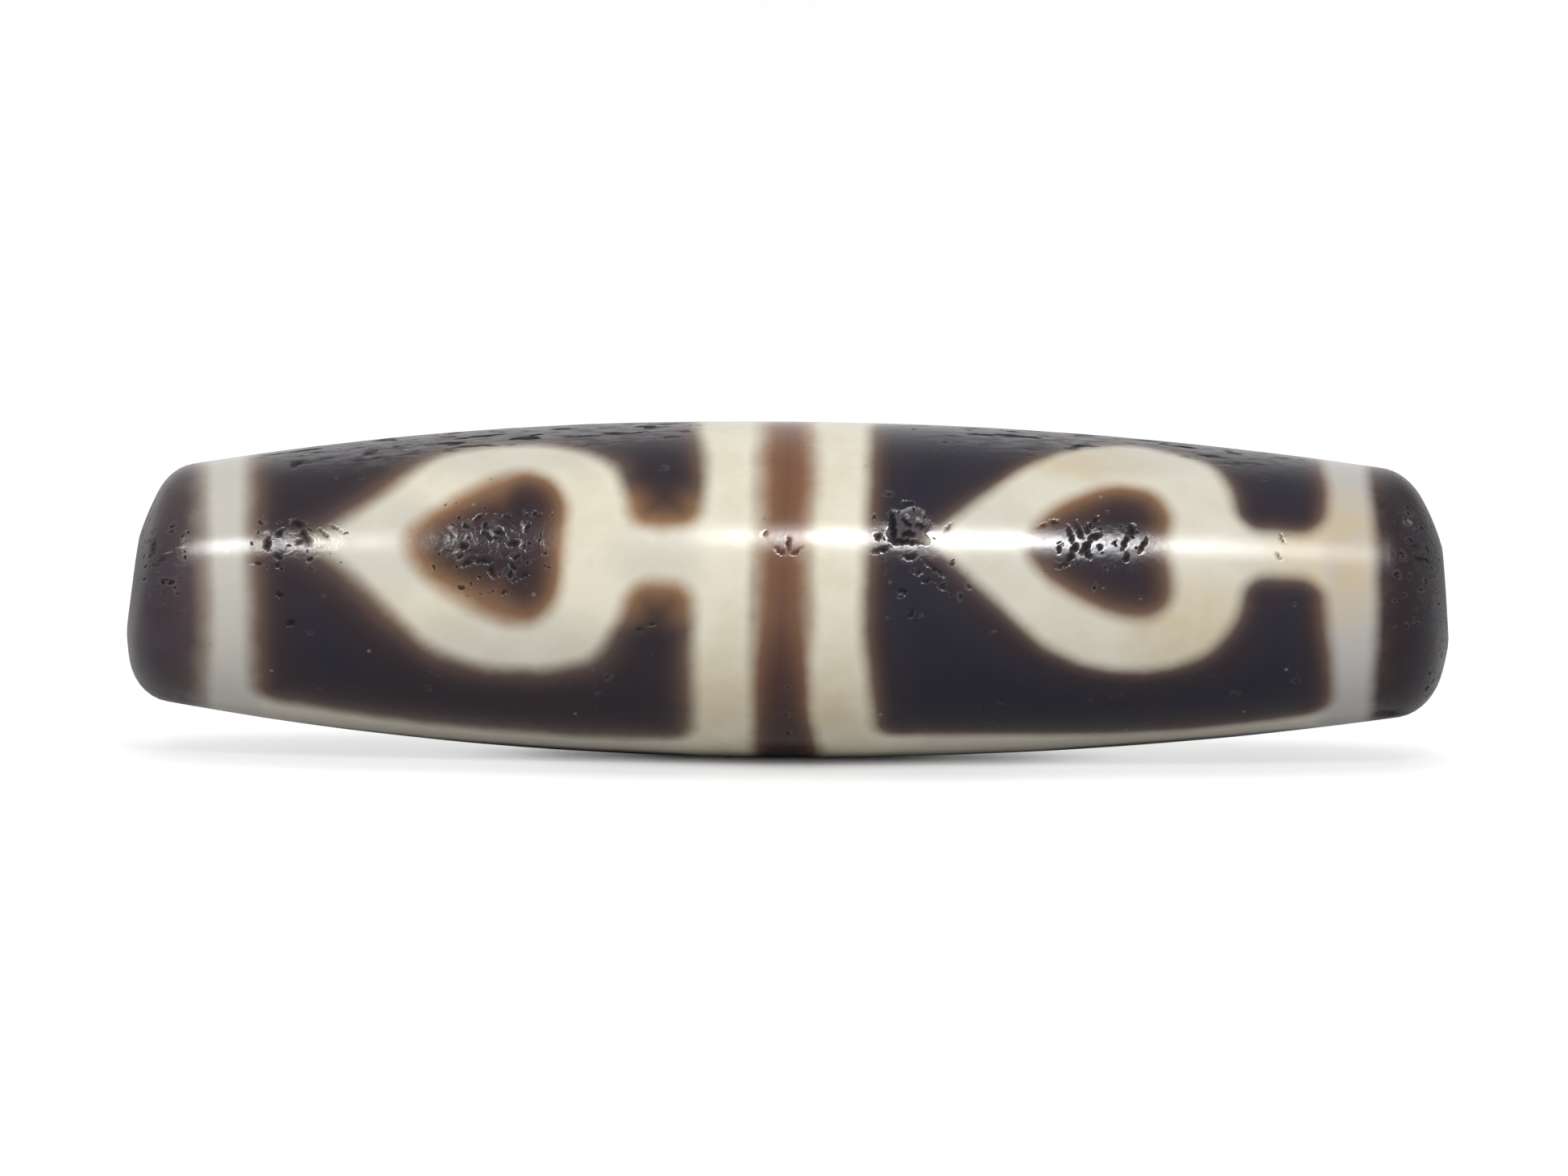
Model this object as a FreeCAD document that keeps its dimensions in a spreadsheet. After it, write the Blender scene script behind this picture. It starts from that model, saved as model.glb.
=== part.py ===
"""A long barrel-shaped agate bead with a bore for a cord, in millimetres.

The bead is one stone. X runs along the bore, Z is up, and the origin is on the bore's axis, midway between
the end faces. Each flank is one long arc that runs smoothly into the arc of the belly. The ends were ground
by hand: each is a dome that leans back a little, so the stone is longest along its underside. The rims and
the mouths of the bore are worn round. A small flat round each mouth is where the next bead on the cord bears.
"""

import FreeCAD, Part
import math
import os
import Sketcher

# Driving dimensions, one row each: name, value, meaning. Lengths are in millimetres and angles in degrees.
SIZES = [
    ("left_face_reach", 24.81, "from the middle of the bead to the left end's flat, along the bore"),
    ("right_face_reach", 24.89, "from the middle of the bead to the right end's flat, along the bore"),
    ("belly_offset", 0.46, "how far left of the middle the bead is thickest"),
    ("belly_diameter", 12.71, "diameter at the thickest place"),
    ("belly_half_width", 3.0, "half the length of the belly's arc, along the bore"),
    ("belly_arc_radius", 208.0, "radius of the belly's arc, along the bore"),
    ("left_end_diameter", 8.40, "diameter that the left flank tapers to before its rim is worn"),
    ("right_end_diameter", 8.84, "diameter that the right flank tapers to before its rim is worn"),
    ("left_face_lean", 7.0, "how far the left end face leans back from square, in degrees"),
    ("right_face_lean", 4.5, "how far the right end face leans back from square, in degrees"),
    ("left_crown_radius", 10.4, "radius of the left end's dome"),
    ("right_crown_radius", 8.8, "radius of the right end's dome"),
    ("left_rim_round", 2.0, "radius worn on the left rim"),
    ("right_rim_round", 2.4, "radius worn on the right rim"),
    ("seat_diameter", 3.6, "diameter of the flat round each mouth of the bore"),
    ("bore_diameter", 2.0, "diameter of the bore"),
    ("mouth_round", 0.25, "radius worn on each mouth of the bore"),
    ("stock_overrun", 1.0, "how far the stock runs past the end faces before they are ground"),
    ("cut_overrun", 1.5, "how far a cutting shape runs past the stock"),
]

# How far an edge may stray from the radius at which it is looked for, as a share of that radius.
EDGE_SEARCH_SHARE = 0.12
EDGE_SAMPLES = 7

PARTS_FOLDER = "parts"
HEADINGS = ("name", "value", "meaning")
FULL_TURN = 360.0
HALF_TURN = 180.0


def make_sheet(doc):
    """Spreadsheet with one aliased cell for each driving dimension."""
    sheet = doc.addObject("Spreadsheet::Sheet", "Sizes")
    for column, heading in zip("ABC", HEADINGS):
        sheet.set(column + "1", heading)
    for row, (name, value, meaning) in enumerate(SIZES, start=2):
        sheet.set(f"A{row}", name)
        sheet.set(f"B{row}", str(value))
        sheet.set(f"C{row}", meaning)
        sheet.setAlias(f"B{row}", name)
    doc.recompute()
    return sheet


def origin_plane(body, role):
    """The body's own origin plane with that role."""
    return next(item for item in body.Origin.OriginFeatures if item.Role == role)


def add_sketch(body, name, role):
    """An empty sketch lying on one of the body's origin planes."""
    sketch = body.newObject("Sketcher::SketchObject", name)
    sketch.AttachmentSupport = [(origin_plane(body, role), "")]
    sketch.MapMode = "FlatFace"
    return sketch


def drive(sketch, name, expression, *constraint):
    """Adds one dimension to a sketch and binds it to cells of the sheet."""
    index = sketch.addConstraint(Sketcher.Constraint(*constraint))
    sketch.renameConstraint(index, name)
    sketch.setExpression("Constraints." + name, expression)


def flank_arc(sheet, side, end_diameter, face_reach):
    """Centre and radius of a flank's arc on side -1 or +1: tangent to the belly and through the rim."""
    belly_x = -sheet.belly_offset
    turn = math.asin(sheet.belly_half_width / sheet.belly_arc_radius)
    joint_x = belly_x + side * sheet.belly_half_width
    joint_z = sheet.belly_diameter / 2 - sheet.belly_arc_radius * (1 - math.cos(turn))
    run = side * (side * face_reach - joint_x)
    drop = joint_z - end_diameter / 2
    chord = math.hypot(run, drop)
    radius = chord / 2 / math.sin(math.atan2(drop, run) - turn)
    centre = FreeCAD.Vector(joint_x - side * radius * math.sin(turn), joint_z - radius * math.cos(turn), 0)
    return centre, radius


def arc_between(centre, radius, x_from, x_to):
    """Upper arc of a circle between two stations along the bore, counter-clockwise from right to left."""
    circle = Part.Circle(centre, FreeCAD.Vector(0, 0, 1), radius)
    start = math.acos((x_to - centre.x) / radius)
    end = math.acos((x_from - centre.x) / radius)
    return Part.ArcOfCircle(circle, start, end)


def draw_barrel(body, sheet):
    """Half outline of the stone's stock: the belly's arc, two flank arcs and a closing line on the axis."""
    sketch = add_sketch(body, "barrel_outline", "XZ_Plane")
    belly_x = -sheet.belly_offset
    left_x = -(sheet.left_face_reach + sheet.stock_overrun)
    right_x = sheet.right_face_reach + sheet.stock_overrun
    belly_centre = FreeCAD.Vector(belly_x, sheet.belly_diameter / 2 - sheet.belly_arc_radius, 0)
    left_centre, left_arc = flank_arc(sheet, -1, sheet.left_end_diameter, sheet.left_face_reach)
    right_centre, right_arc = flank_arc(sheet, 1, sheet.right_end_diameter, sheet.right_face_reach)
    left_joint = belly_x - sheet.belly_half_width
    right_joint = belly_x + sheet.belly_half_width
    right_flank = arc_between(right_centre, right_arc, right_joint, right_x)
    belly_arc = arc_between(belly_centre, sheet.belly_arc_radius, left_joint, right_joint)
    left_flank = arc_between(left_centre, left_arc, left_x, left_joint)
    left_foot = FreeCAD.Vector(left_x, 0, 0)
    right_foot = FreeCAD.Vector(right_x, 0, 0)

    right, belly, left, left_side, axis, right_side = sketch.addGeometry(
        [
            right_flank,
            belly_arc,
            left_flank,
            Part.LineSegment(left_flank.EndPoint, left_foot),
            Part.LineSegment(left_foot, right_foot),
            Part.LineSegment(right_foot, right_flank.StartPoint),
        ],
        False,
    )
    sketch.addConstraint(
        [
            Sketcher.Constraint("Tangent", right, 2, belly, 1),
            Sketcher.Constraint("Tangent", belly, 2, left, 1),
            Sketcher.Constraint("Coincident", left, 2, left_side, 1),
            Sketcher.Constraint("Coincident", left_side, 2, axis, 1),
            Sketcher.Constraint("Coincident", axis, 2, right_side, 1),
            Sketcher.Constraint("Coincident", right_side, 2, right, 1),
            Sketcher.Constraint("Vertical", left_side),
            Sketcher.Constraint("Vertical", right_side),
            Sketcher.Constraint("PointOnObject", left_side, 2, -1),
            Sketcher.Constraint("PointOnObject", right_side, 1, -1),
        ]
    )
    left_rim, right_rim = sketch.addGeometry(
        [
            Part.Point(FreeCAD.Vector(-sheet.left_face_reach, sheet.left_end_diameter / 2, 0)),
            Part.Point(FreeCAD.Vector(sheet.right_face_reach, sheet.right_end_diameter / 2, 0)),
        ],
        True,
    )
    sketch.addConstraint(Sketcher.Constraint("PointOnObject", left_rim, 1, left))
    sketch.addConstraint(Sketcher.Constraint("PointOnObject", right_rim, 1, right))

    belly_depth = sheet.belly_arc_radius - sheet.belly_diameter / 2
    depth_rule = "Sizes.belly_arc_radius - Sizes.belly_diameter / 2"
    half_width = sheet.belly_half_width
    left_reach = sheet.left_face_reach
    right_reach = sheet.right_face_reach
    left_radius = sheet.left_end_diameter / 2
    right_radius = sheet.right_end_diameter / 2
    left_stock_rule = "Sizes.left_face_reach + Sizes.stock_overrun"
    right_stock_rule = "Sizes.right_face_reach + Sizes.stock_overrun"
    for name, rule, *constraint in (
        ("belly_radius", "Sizes.belly_arc_radius", "Radius", belly, sheet.belly_arc_radius),
        ("belly_place", "Sizes.belly_offset", "DistanceX", belly, 3, -1, 1, sheet.belly_offset),
        ("belly_depth", depth_rule, "DistanceY", belly, 3, -1, 1, belly_depth),
        ("belly_left", "Sizes.belly_half_width", "DistanceX", belly, 2, belly, 3, half_width),
        ("belly_right", "Sizes.belly_half_width", "DistanceX", belly, 3, belly, 1, half_width),
        ("left_rim_x", "Sizes.left_face_reach", "DistanceX", left_rim, 1, -1, 1, left_reach),
        ("right_rim_x", "Sizes.right_face_reach", "DistanceX", -1, 1, right_rim, 1, right_reach),
        ("left_rim_z", "Sizes.left_end_diameter / 2", "DistanceY", -1, 1, left_rim, 1, left_radius),
        ("right_rim_z", "Sizes.right_end_diameter / 2", "DistanceY", -1, 1, right_rim, 1, right_radius),
        ("left_stock", left_stock_rule, "DistanceX", left_side, 2, -1, 1, -left_x),
        ("right_stock", right_stock_rule, "DistanceX", -1, 1, right_side, 1, right_x),
    ):
        drive(sketch, name, rule, *constraint)
    return sketch


def turn_barrel(body, sketch):
    """The stone's stock, turned about the axis of the bore."""
    barrel = body.newObject("PartDesign::Revolution", "barrel")
    barrel.Profile = sketch
    barrel.ReferenceAxis = (sketch, ["H_Axis"])
    barrel.Angle = FULL_TURN
    return barrel


def draw_end_cut(body, sheet, name, side):
    """Outline of what is ground off one end, in a frame on its flat whose first axis points outwards."""
    sketch = add_sketch(body, name + "_end_cut", "XZ_Plane")
    reach = getattr(sheet, name + "_face_reach")
    lean = getattr(sheet, name + "_face_lean")
    crown = getattr(sheet, name + "_crown_radius")
    end_diameter = getattr(sheet, name + "_end_diameter")
    turn = lean if side > 0 else HALF_TURN - lean
    turn_rule = f"Sizes.{name}_face_lean * 1 deg"
    sketch.AttachmentOffset = FreeCAD.Placement(
        FreeCAD.Vector(side * reach, 0, 0), FreeCAD.Rotation(FreeCAD.Vector(0, 0, 1), turn)
    )
    sketch.setExpression("AttachmentOffset.Base.x", f"{side} * Sizes.{name}_face_reach * 1 mm")
    angle_rule = turn_rule if side > 0 else "180 deg - " + turn_rule
    sketch.setExpression("AttachmentOffset.Rotation.Angle", angle_rule)

    seat = sheet.seat_diameter / 2
    top = end_diameter / 2 + sheet.cut_overrun
    out = sheet.stock_overrun + sheet.cut_overrun
    crown_x = -math.sqrt(crown**2 - seat**2)
    crown_circle = Part.Circle(FreeCAD.Vector(crown_x, 0, 0), FreeCAD.Vector(0, 0, 1), crown)
    crown_arc = Part.ArcOfCircle(crown_circle, math.asin(seat / crown), math.asin(top / crown))
    middle = FreeCAD.Vector(0, 0, 0)
    seat_edge = FreeCAD.Vector(0, seat, 0)
    corner = FreeCAD.Vector(out, top, 0)
    foot = FreeCAD.Vector(out, 0, 0)

    flat, dome, roof, wall, floor = sketch.addGeometry(
        [
            Part.LineSegment(middle, seat_edge),
            crown_arc,
            Part.LineSegment(crown_arc.EndPoint, corner),
            Part.LineSegment(corner, foot),
            Part.LineSegment(foot, middle),
        ],
        False,
    )
    sketch.addConstraint(
        [
            Sketcher.Constraint("Coincident", flat, 1, -1, 1),
            Sketcher.Constraint("Coincident", flat, 2, dome, 1),
            Sketcher.Constraint("Coincident", dome, 2, roof, 1),
            Sketcher.Constraint("Coincident", roof, 2, wall, 1),
            Sketcher.Constraint("Coincident", wall, 2, floor, 1),
            Sketcher.Constraint("Coincident", floor, 2, flat, 1),
            Sketcher.Constraint("Vertical", flat),
            Sketcher.Constraint("Horizontal", roof),
            Sketcher.Constraint("Vertical", wall),
            Sketcher.Constraint("Horizontal", floor),
            Sketcher.Constraint("PointOnObject", dome, 3, -1),
        ]
    )
    for rule_name, rule, *constraint in (
        ("seat", "Sizes.seat_diameter / 2", "DistanceY", flat, 1, flat, 2, seat),
        ("crown", f"Sizes.{name}_crown_radius", "Radius", dome, crown),
        ("reach_out", "Sizes.stock_overrun + Sizes.cut_overrun", "DistanceX", floor, 2, floor, 1, out),
        ("height", f"Sizes.{name}_end_diameter / 2 + Sizes.cut_overrun", "DistanceY", wall, 2, wall, 1, top),
    ):
        drive(sketch, rule_name, rule, *constraint)
    return sketch


def grind_end(body, sketch, name):
    """One end of the stone, ground to a flat seat in a dome about the leaning axis."""
    cut = body.newObject("PartDesign::Groove", name)
    cut.Profile = sketch
    cut.ReferenceAxis = (sketch, ["H_Axis"])
    cut.Angle = FULL_TURN
    return cut


def drill_bore(body, sheet):
    """The bore for the cord, through both ends."""
    sketch = add_sketch(body, "bore_circle", "YZ_Plane")
    circle = sketch.addGeometry(
        Part.Circle(FreeCAD.Vector(0, 0, 0), FreeCAD.Vector(0, 0, 1), sheet.bore_diameter / 2), False
    )
    sketch.addConstraint(Sketcher.Constraint("Coincident", circle, 3, -1, 1))
    drive(sketch, "bore", "Sizes.bore_diameter", "Diameter", circle, sheet.bore_diameter)
    bore = body.newObject("PartDesign::Pocket", "bore")
    bore.Profile = sketch
    bore.SideType = "Symmetric"
    bore.Type = "ThroughAll"
    return bore


def ring_edges(shape, side, radius):
    """Names of the edges round the bore's axis at about that radius, on side -1 or +1 of the middle."""
    slack = EDGE_SEARCH_SHARE * radius
    names = []
    for number, edge in enumerate(shape.Edges, start=1):
        points = edge.discretize(EDGE_SAMPLES)
        if all(side * p.x > 0 and abs(math.hypot(p.y, p.z) - radius) < slack for p in points):
            names.append(f"Edge{number}")
    return names


def wear_round(body, base, name, edges, size_name):
    """Rounds named edges of the stone to the radius in one cell of the sheet."""
    if not edges:
        raise RuntimeError(f"{name}: no edge found")
    fillet = body.newObject("PartDesign::Fillet", name)
    fillet.Base = (base, edges)
    fillet.setExpression("Radius", "Sizes." + size_name)
    return fillet


def build_bead(doc, sheet):
    """The bead, as one body: barrel, two ground ends, bore, worn rims and worn mouths."""
    body = doc.addObject("PartDesign::Body", "agate_bead")
    body.Label = "agate_bead"
    barrel = turn_barrel(body, draw_barrel(body, sheet))
    doc.recompute()

    left_end = grind_end(body, draw_end_cut(body, sheet, "left", -1), "left_end")
    doc.recompute()
    right_end = grind_end(body, draw_end_cut(body, sheet, "right", 1), "right_end")
    doc.recompute()
    bore = drill_bore(body, sheet)
    doc.recompute()

    volumes = [step.Shape.Volume for step in (barrel, left_end, right_end, bore)]
    if any(after >= before for before, after in zip(volumes, volumes[1:])):
        raise RuntimeError(f"a cut took nothing away: {volumes}")

    left_rim = wear_round(
        body, bore, "left_rim", ring_edges(bore.Shape, -1, sheet.left_end_diameter / 2), "left_rim_round"
    )
    doc.recompute()
    right_rim = wear_round(
        body,
        left_rim,
        "right_rim",
        ring_edges(left_rim.Shape, 1, sheet.right_end_diameter / 2),
        "right_rim_round",
    )
    doc.recompute()
    mouths = ring_edges(right_rim.Shape, -1, sheet.bore_diameter / 2)
    mouths += ring_edges(right_rim.Shape, 1, sheet.bore_diameter / 2)
    wear_round(body, right_rim, "mouths", mouths, "mouth_round")
    doc.recompute()
    return body


def check_document(doc, bodies):
    """Stops if any object failed to build, or if a sub-part isn't one valid closed solid."""
    for item in doc.Objects:
        if "Invalid" in item.State or "Error" in item.State:
            raise RuntimeError(f"{item.Name} failed: {item.State}")
    for body in bodies:
        shape = body.Shape
        if shape.isNull() or not shape.isValid() or len(shape.Solids) != 1 or shape.Volume <= 0:
            raise RuntimeError(f"{body.Label} isn't one valid solid")


def main():
    """Builds the document, checks it and writes one STEP file for each sub-part."""
    doc = FreeCAD.newDocument("bead")
    sheet = make_sheet(doc)
    bodies = [build_bead(doc, sheet)]
    doc.recompute()
    check_document(doc, bodies)
    os.makedirs(PARTS_FOLDER, exist_ok=True)
    for body in bodies:
        body.Shape.exportStep(os.path.join(PARTS_FOLDER, body.Label + ".step"))
        box = body.Shape.BoundBox
        print(f"{body.Label}: {body.Shape.Volume:.2f} mm3, X {box.XMin:.3f} to {box.XMax:.3f} mm")


main()
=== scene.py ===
"""A long dyed agate bead lying on a white table, in soft studio light.

Sizes are in millimetres and angles in degrees until a mesh, a lamp or the camera is placed. X runs along the
bore, Z is up, and the front of the bead faces -Y. The turn of a point round the bore is counted from the
front, upwards.
"""

import logging
import math
from dataclasses import dataclass, field
from enum import Enum
from typing import ClassVar

import bpy
import numpy as np
from mathutils import Matrix, Vector


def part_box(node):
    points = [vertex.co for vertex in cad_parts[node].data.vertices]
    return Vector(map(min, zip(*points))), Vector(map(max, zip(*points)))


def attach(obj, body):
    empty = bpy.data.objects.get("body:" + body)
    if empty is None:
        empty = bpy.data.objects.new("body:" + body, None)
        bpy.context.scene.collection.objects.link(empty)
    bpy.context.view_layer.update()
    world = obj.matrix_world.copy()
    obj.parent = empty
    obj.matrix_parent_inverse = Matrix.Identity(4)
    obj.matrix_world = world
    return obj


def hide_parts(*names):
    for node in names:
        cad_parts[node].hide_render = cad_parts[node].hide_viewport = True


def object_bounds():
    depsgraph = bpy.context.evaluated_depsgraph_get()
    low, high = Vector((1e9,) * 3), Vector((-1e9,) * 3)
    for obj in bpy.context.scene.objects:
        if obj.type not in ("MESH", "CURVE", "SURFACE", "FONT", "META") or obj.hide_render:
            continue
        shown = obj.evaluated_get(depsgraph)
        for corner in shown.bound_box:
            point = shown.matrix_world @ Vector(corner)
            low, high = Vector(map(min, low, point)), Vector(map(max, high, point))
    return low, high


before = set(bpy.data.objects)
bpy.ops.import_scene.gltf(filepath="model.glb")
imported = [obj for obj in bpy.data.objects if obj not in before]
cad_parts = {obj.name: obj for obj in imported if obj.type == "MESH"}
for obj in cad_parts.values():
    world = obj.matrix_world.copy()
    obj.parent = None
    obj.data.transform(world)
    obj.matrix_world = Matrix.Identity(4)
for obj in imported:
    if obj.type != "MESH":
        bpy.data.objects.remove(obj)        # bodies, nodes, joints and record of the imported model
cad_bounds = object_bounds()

Array = np.ndarray
Point = tuple[float, float]
Rgb = tuple[int, int, int]
DyeStops = tuple[tuple[float, Rgb], ...]
Socket = bpy.types.NodeSocket

MM = 0.001
MM_PER_METRE = 1000.0
FULL_TURN = 360.0
HALF_TURN = 180.0
QUARTER_TURN = 90.0
BEAD_NODE = "agate_bead"
ROOT_BODY = "root"
UNROLLED_MAP = "unrolled"
WHITE_LIGHT = (1.0, 1.0, 1.0, 1.0)
MIDDLE_GREY = (0.5, 0.5, 0.5)
FLATTENED = (1.0, 1.0, 0.0)
SCREEN_STEPS = 255.0

log = logging.getLogger("dzi_bead")


def smooth_step(value: Array, low: float, high: float) -> Array:
    """Runs from 0 at low to 1 at high, level at both ends."""
    share = np.clip((value - low) / (high - low), 0.0, 1.0)
    return share * share * (3.0 - 2.0 * share)


@dataclass(frozen=True)
class Ramp:
    """A smooth run from one value to another: level up to start, and level again from end on."""

    start: float
    end: float
    before: float = 0.0
    after: float = 1.0

    def at(self, place: Array) -> Array:
        """The value at each place."""
        return self.before + (self.after - self.before) * smooth_step(place, self.start, self.end)

    def scaled(self, unit: float) -> "Ramp":
        """The same run with its two places given in another unit."""
        return Ramp(self.start * unit, self.end * unit, self.before, self.after)


@dataclass(frozen=True)
class Ripple:
    """A sine wave over the stone: its height, how fast its phase grows along the bore and round it, and its
    phase at the start."""

    height: float
    along: float
    around: float = 0.0
    phase: float = 0.0

    def at(self, x: Array, around: Array) -> Array:
        """Height of the wave at each point."""
        return self.height * np.sin(self.along * x + self.around * around + self.phase)


def rippled(ripples: tuple[Ripple, ...], x: Array, around: Array) -> Array:
    """The sum of some sine waves at each point."""
    return sum(ripple.at(x, around) for ripple in ripples)


def turn_between(turn: Array, centre: float) -> Array:
    """The shortest turn in degrees from centre to each turn, from -180 to 180."""
    return (turn - centre + HALF_TURN) % FULL_TURN - HALF_TURN


def catmull_rom(before: Array, start: Array, end: Array, after: Array, t: Array) -> Array:
    """The cubic that runs through two points, with a slope at each of half the step from the neighbour
    before it to the neighbour after it.

    Args:
        before, start, end, after: four points that follow each other, the curve running from start to end.
        t: how far along the curve, from 0 to 1.

    Returns:
        The curve's place at each t.
    """
    curve = 2 * start + (end - before) * t
    curve = curve + (2 * before - 5 * start + 4 * end - after) * t**2
    curve = curve + (3 * start - before - 3 * end + after) * t**3
    return curve / 2


def curve_through(points: tuple[Point, ...], closed: bool, steps: int = 10) -> Array:
    """Points on a smooth curve of Catmull-Rom cubics.

    Args:
        points: the points that the curve runs through.
        closed: whether it runs smoothly on from the last point to the first, or its ends stay sharp.
        steps: how many points are made for each given one.

    Returns:
        An array with one row of two coordinates for each point made.
    """
    knots = np.asarray(points, float)
    if closed:
        before, start, end, after = (np.roll(knots, -shift, axis=0) for shift in (-1, 0, 1, 2))
    else:
        held = np.vstack([2 * knots[0] - knots[1], knots, 2 * knots[-1] - knots[-2]])
        before, start, end, after = held[:-3], held[1:-2], held[2:-1], held[3:]
    before, start, end, after = (row[:, None] for row in (before, start, end, after))
    t = (np.arange(steps) / steps)[None, :, None]
    return catmull_rom(before, start, end, after, t).reshape(-1, knots.shape[1])


def distance_to_outline(across: Array, up: Array, outline: Array) -> Array:
    """Signed distance to a closed outline: the nearest point of each side is found by projection, and a
    point is inside where a line to its right crosses an odd number of sides.

    Args:
        across, up: coordinates of the points to measure.
        outline: the corners of the outline, in order.

    Returns:
        The distances, negative inside.
    """
    nearest = np.full(across.shape, np.inf)
    inside = np.zeros(across.shape, bool)
    for (x0, y0), (x1, y1) in zip(outline, np.roll(outline, -1, axis=0)):
        run, rise = x1 - x0, y1 - y0
        share = ((across - x0) * run + (up - y0) * rise) / (run * run + rise * rise)
        share = np.clip(share, 0.0, 1.0)
        nearest = np.minimum(nearest, (across - x0 - share * run) ** 2 + (up - y0 - share * rise) ** 2)
        if rise:
            inside ^= ((y0 > up) != (y1 > up)) & (across < x0 + run * (up - y0) / rise)
    return np.where(inside, -1.0, 1.0) * np.sqrt(nearest)


def join_rounded(first: Array, second: Array, radius: float) -> Array:
    """Signed distance to two shapes joined, with the inner corners where they meet rounded to radius."""
    corner = np.hypot(np.maximum(radius - first, 0.0), np.maximum(radius - second, 0.0))
    return np.maximum(radius, np.minimum(first, second)) - corner


def rolled_corner(first: Array, second: Array, cosine: Array, radius: float) -> Array:
    """Signed distance to the solid behind two surfaces whose shared edge is rounded by a rolling ball. Where
    both surfaces are less than radius away, seen from the ball's centre, it is the distance to that ball,
    and elsewhere it is the larger of the two distances.

    Args:
        first, second: signed distances to the two surfaces.
        cosine: cosine of the angle between their outward normals.
        radius: the ball's radius.

    Returns:
        The distances, negative in the solid.
    """
    u, v = first + radius, second + radius
    on_ball = (u > cosine * v) & (v > cosine * u)
    square = (u * u + v * v - 2 * cosine * u * v) / (1 - cosine * cosine)
    ball = np.sqrt(np.maximum(square, 0.0)) - radius
    return np.where(on_ball, ball, np.maximum(first, second))


@dataclass(frozen=True)
class EndSizes:
    """One ground end of the stone, in millimetres and degrees."""

    reach: float
    rim_diameter: float
    lean: float
    crown_radius: float
    rim_round: float


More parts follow.
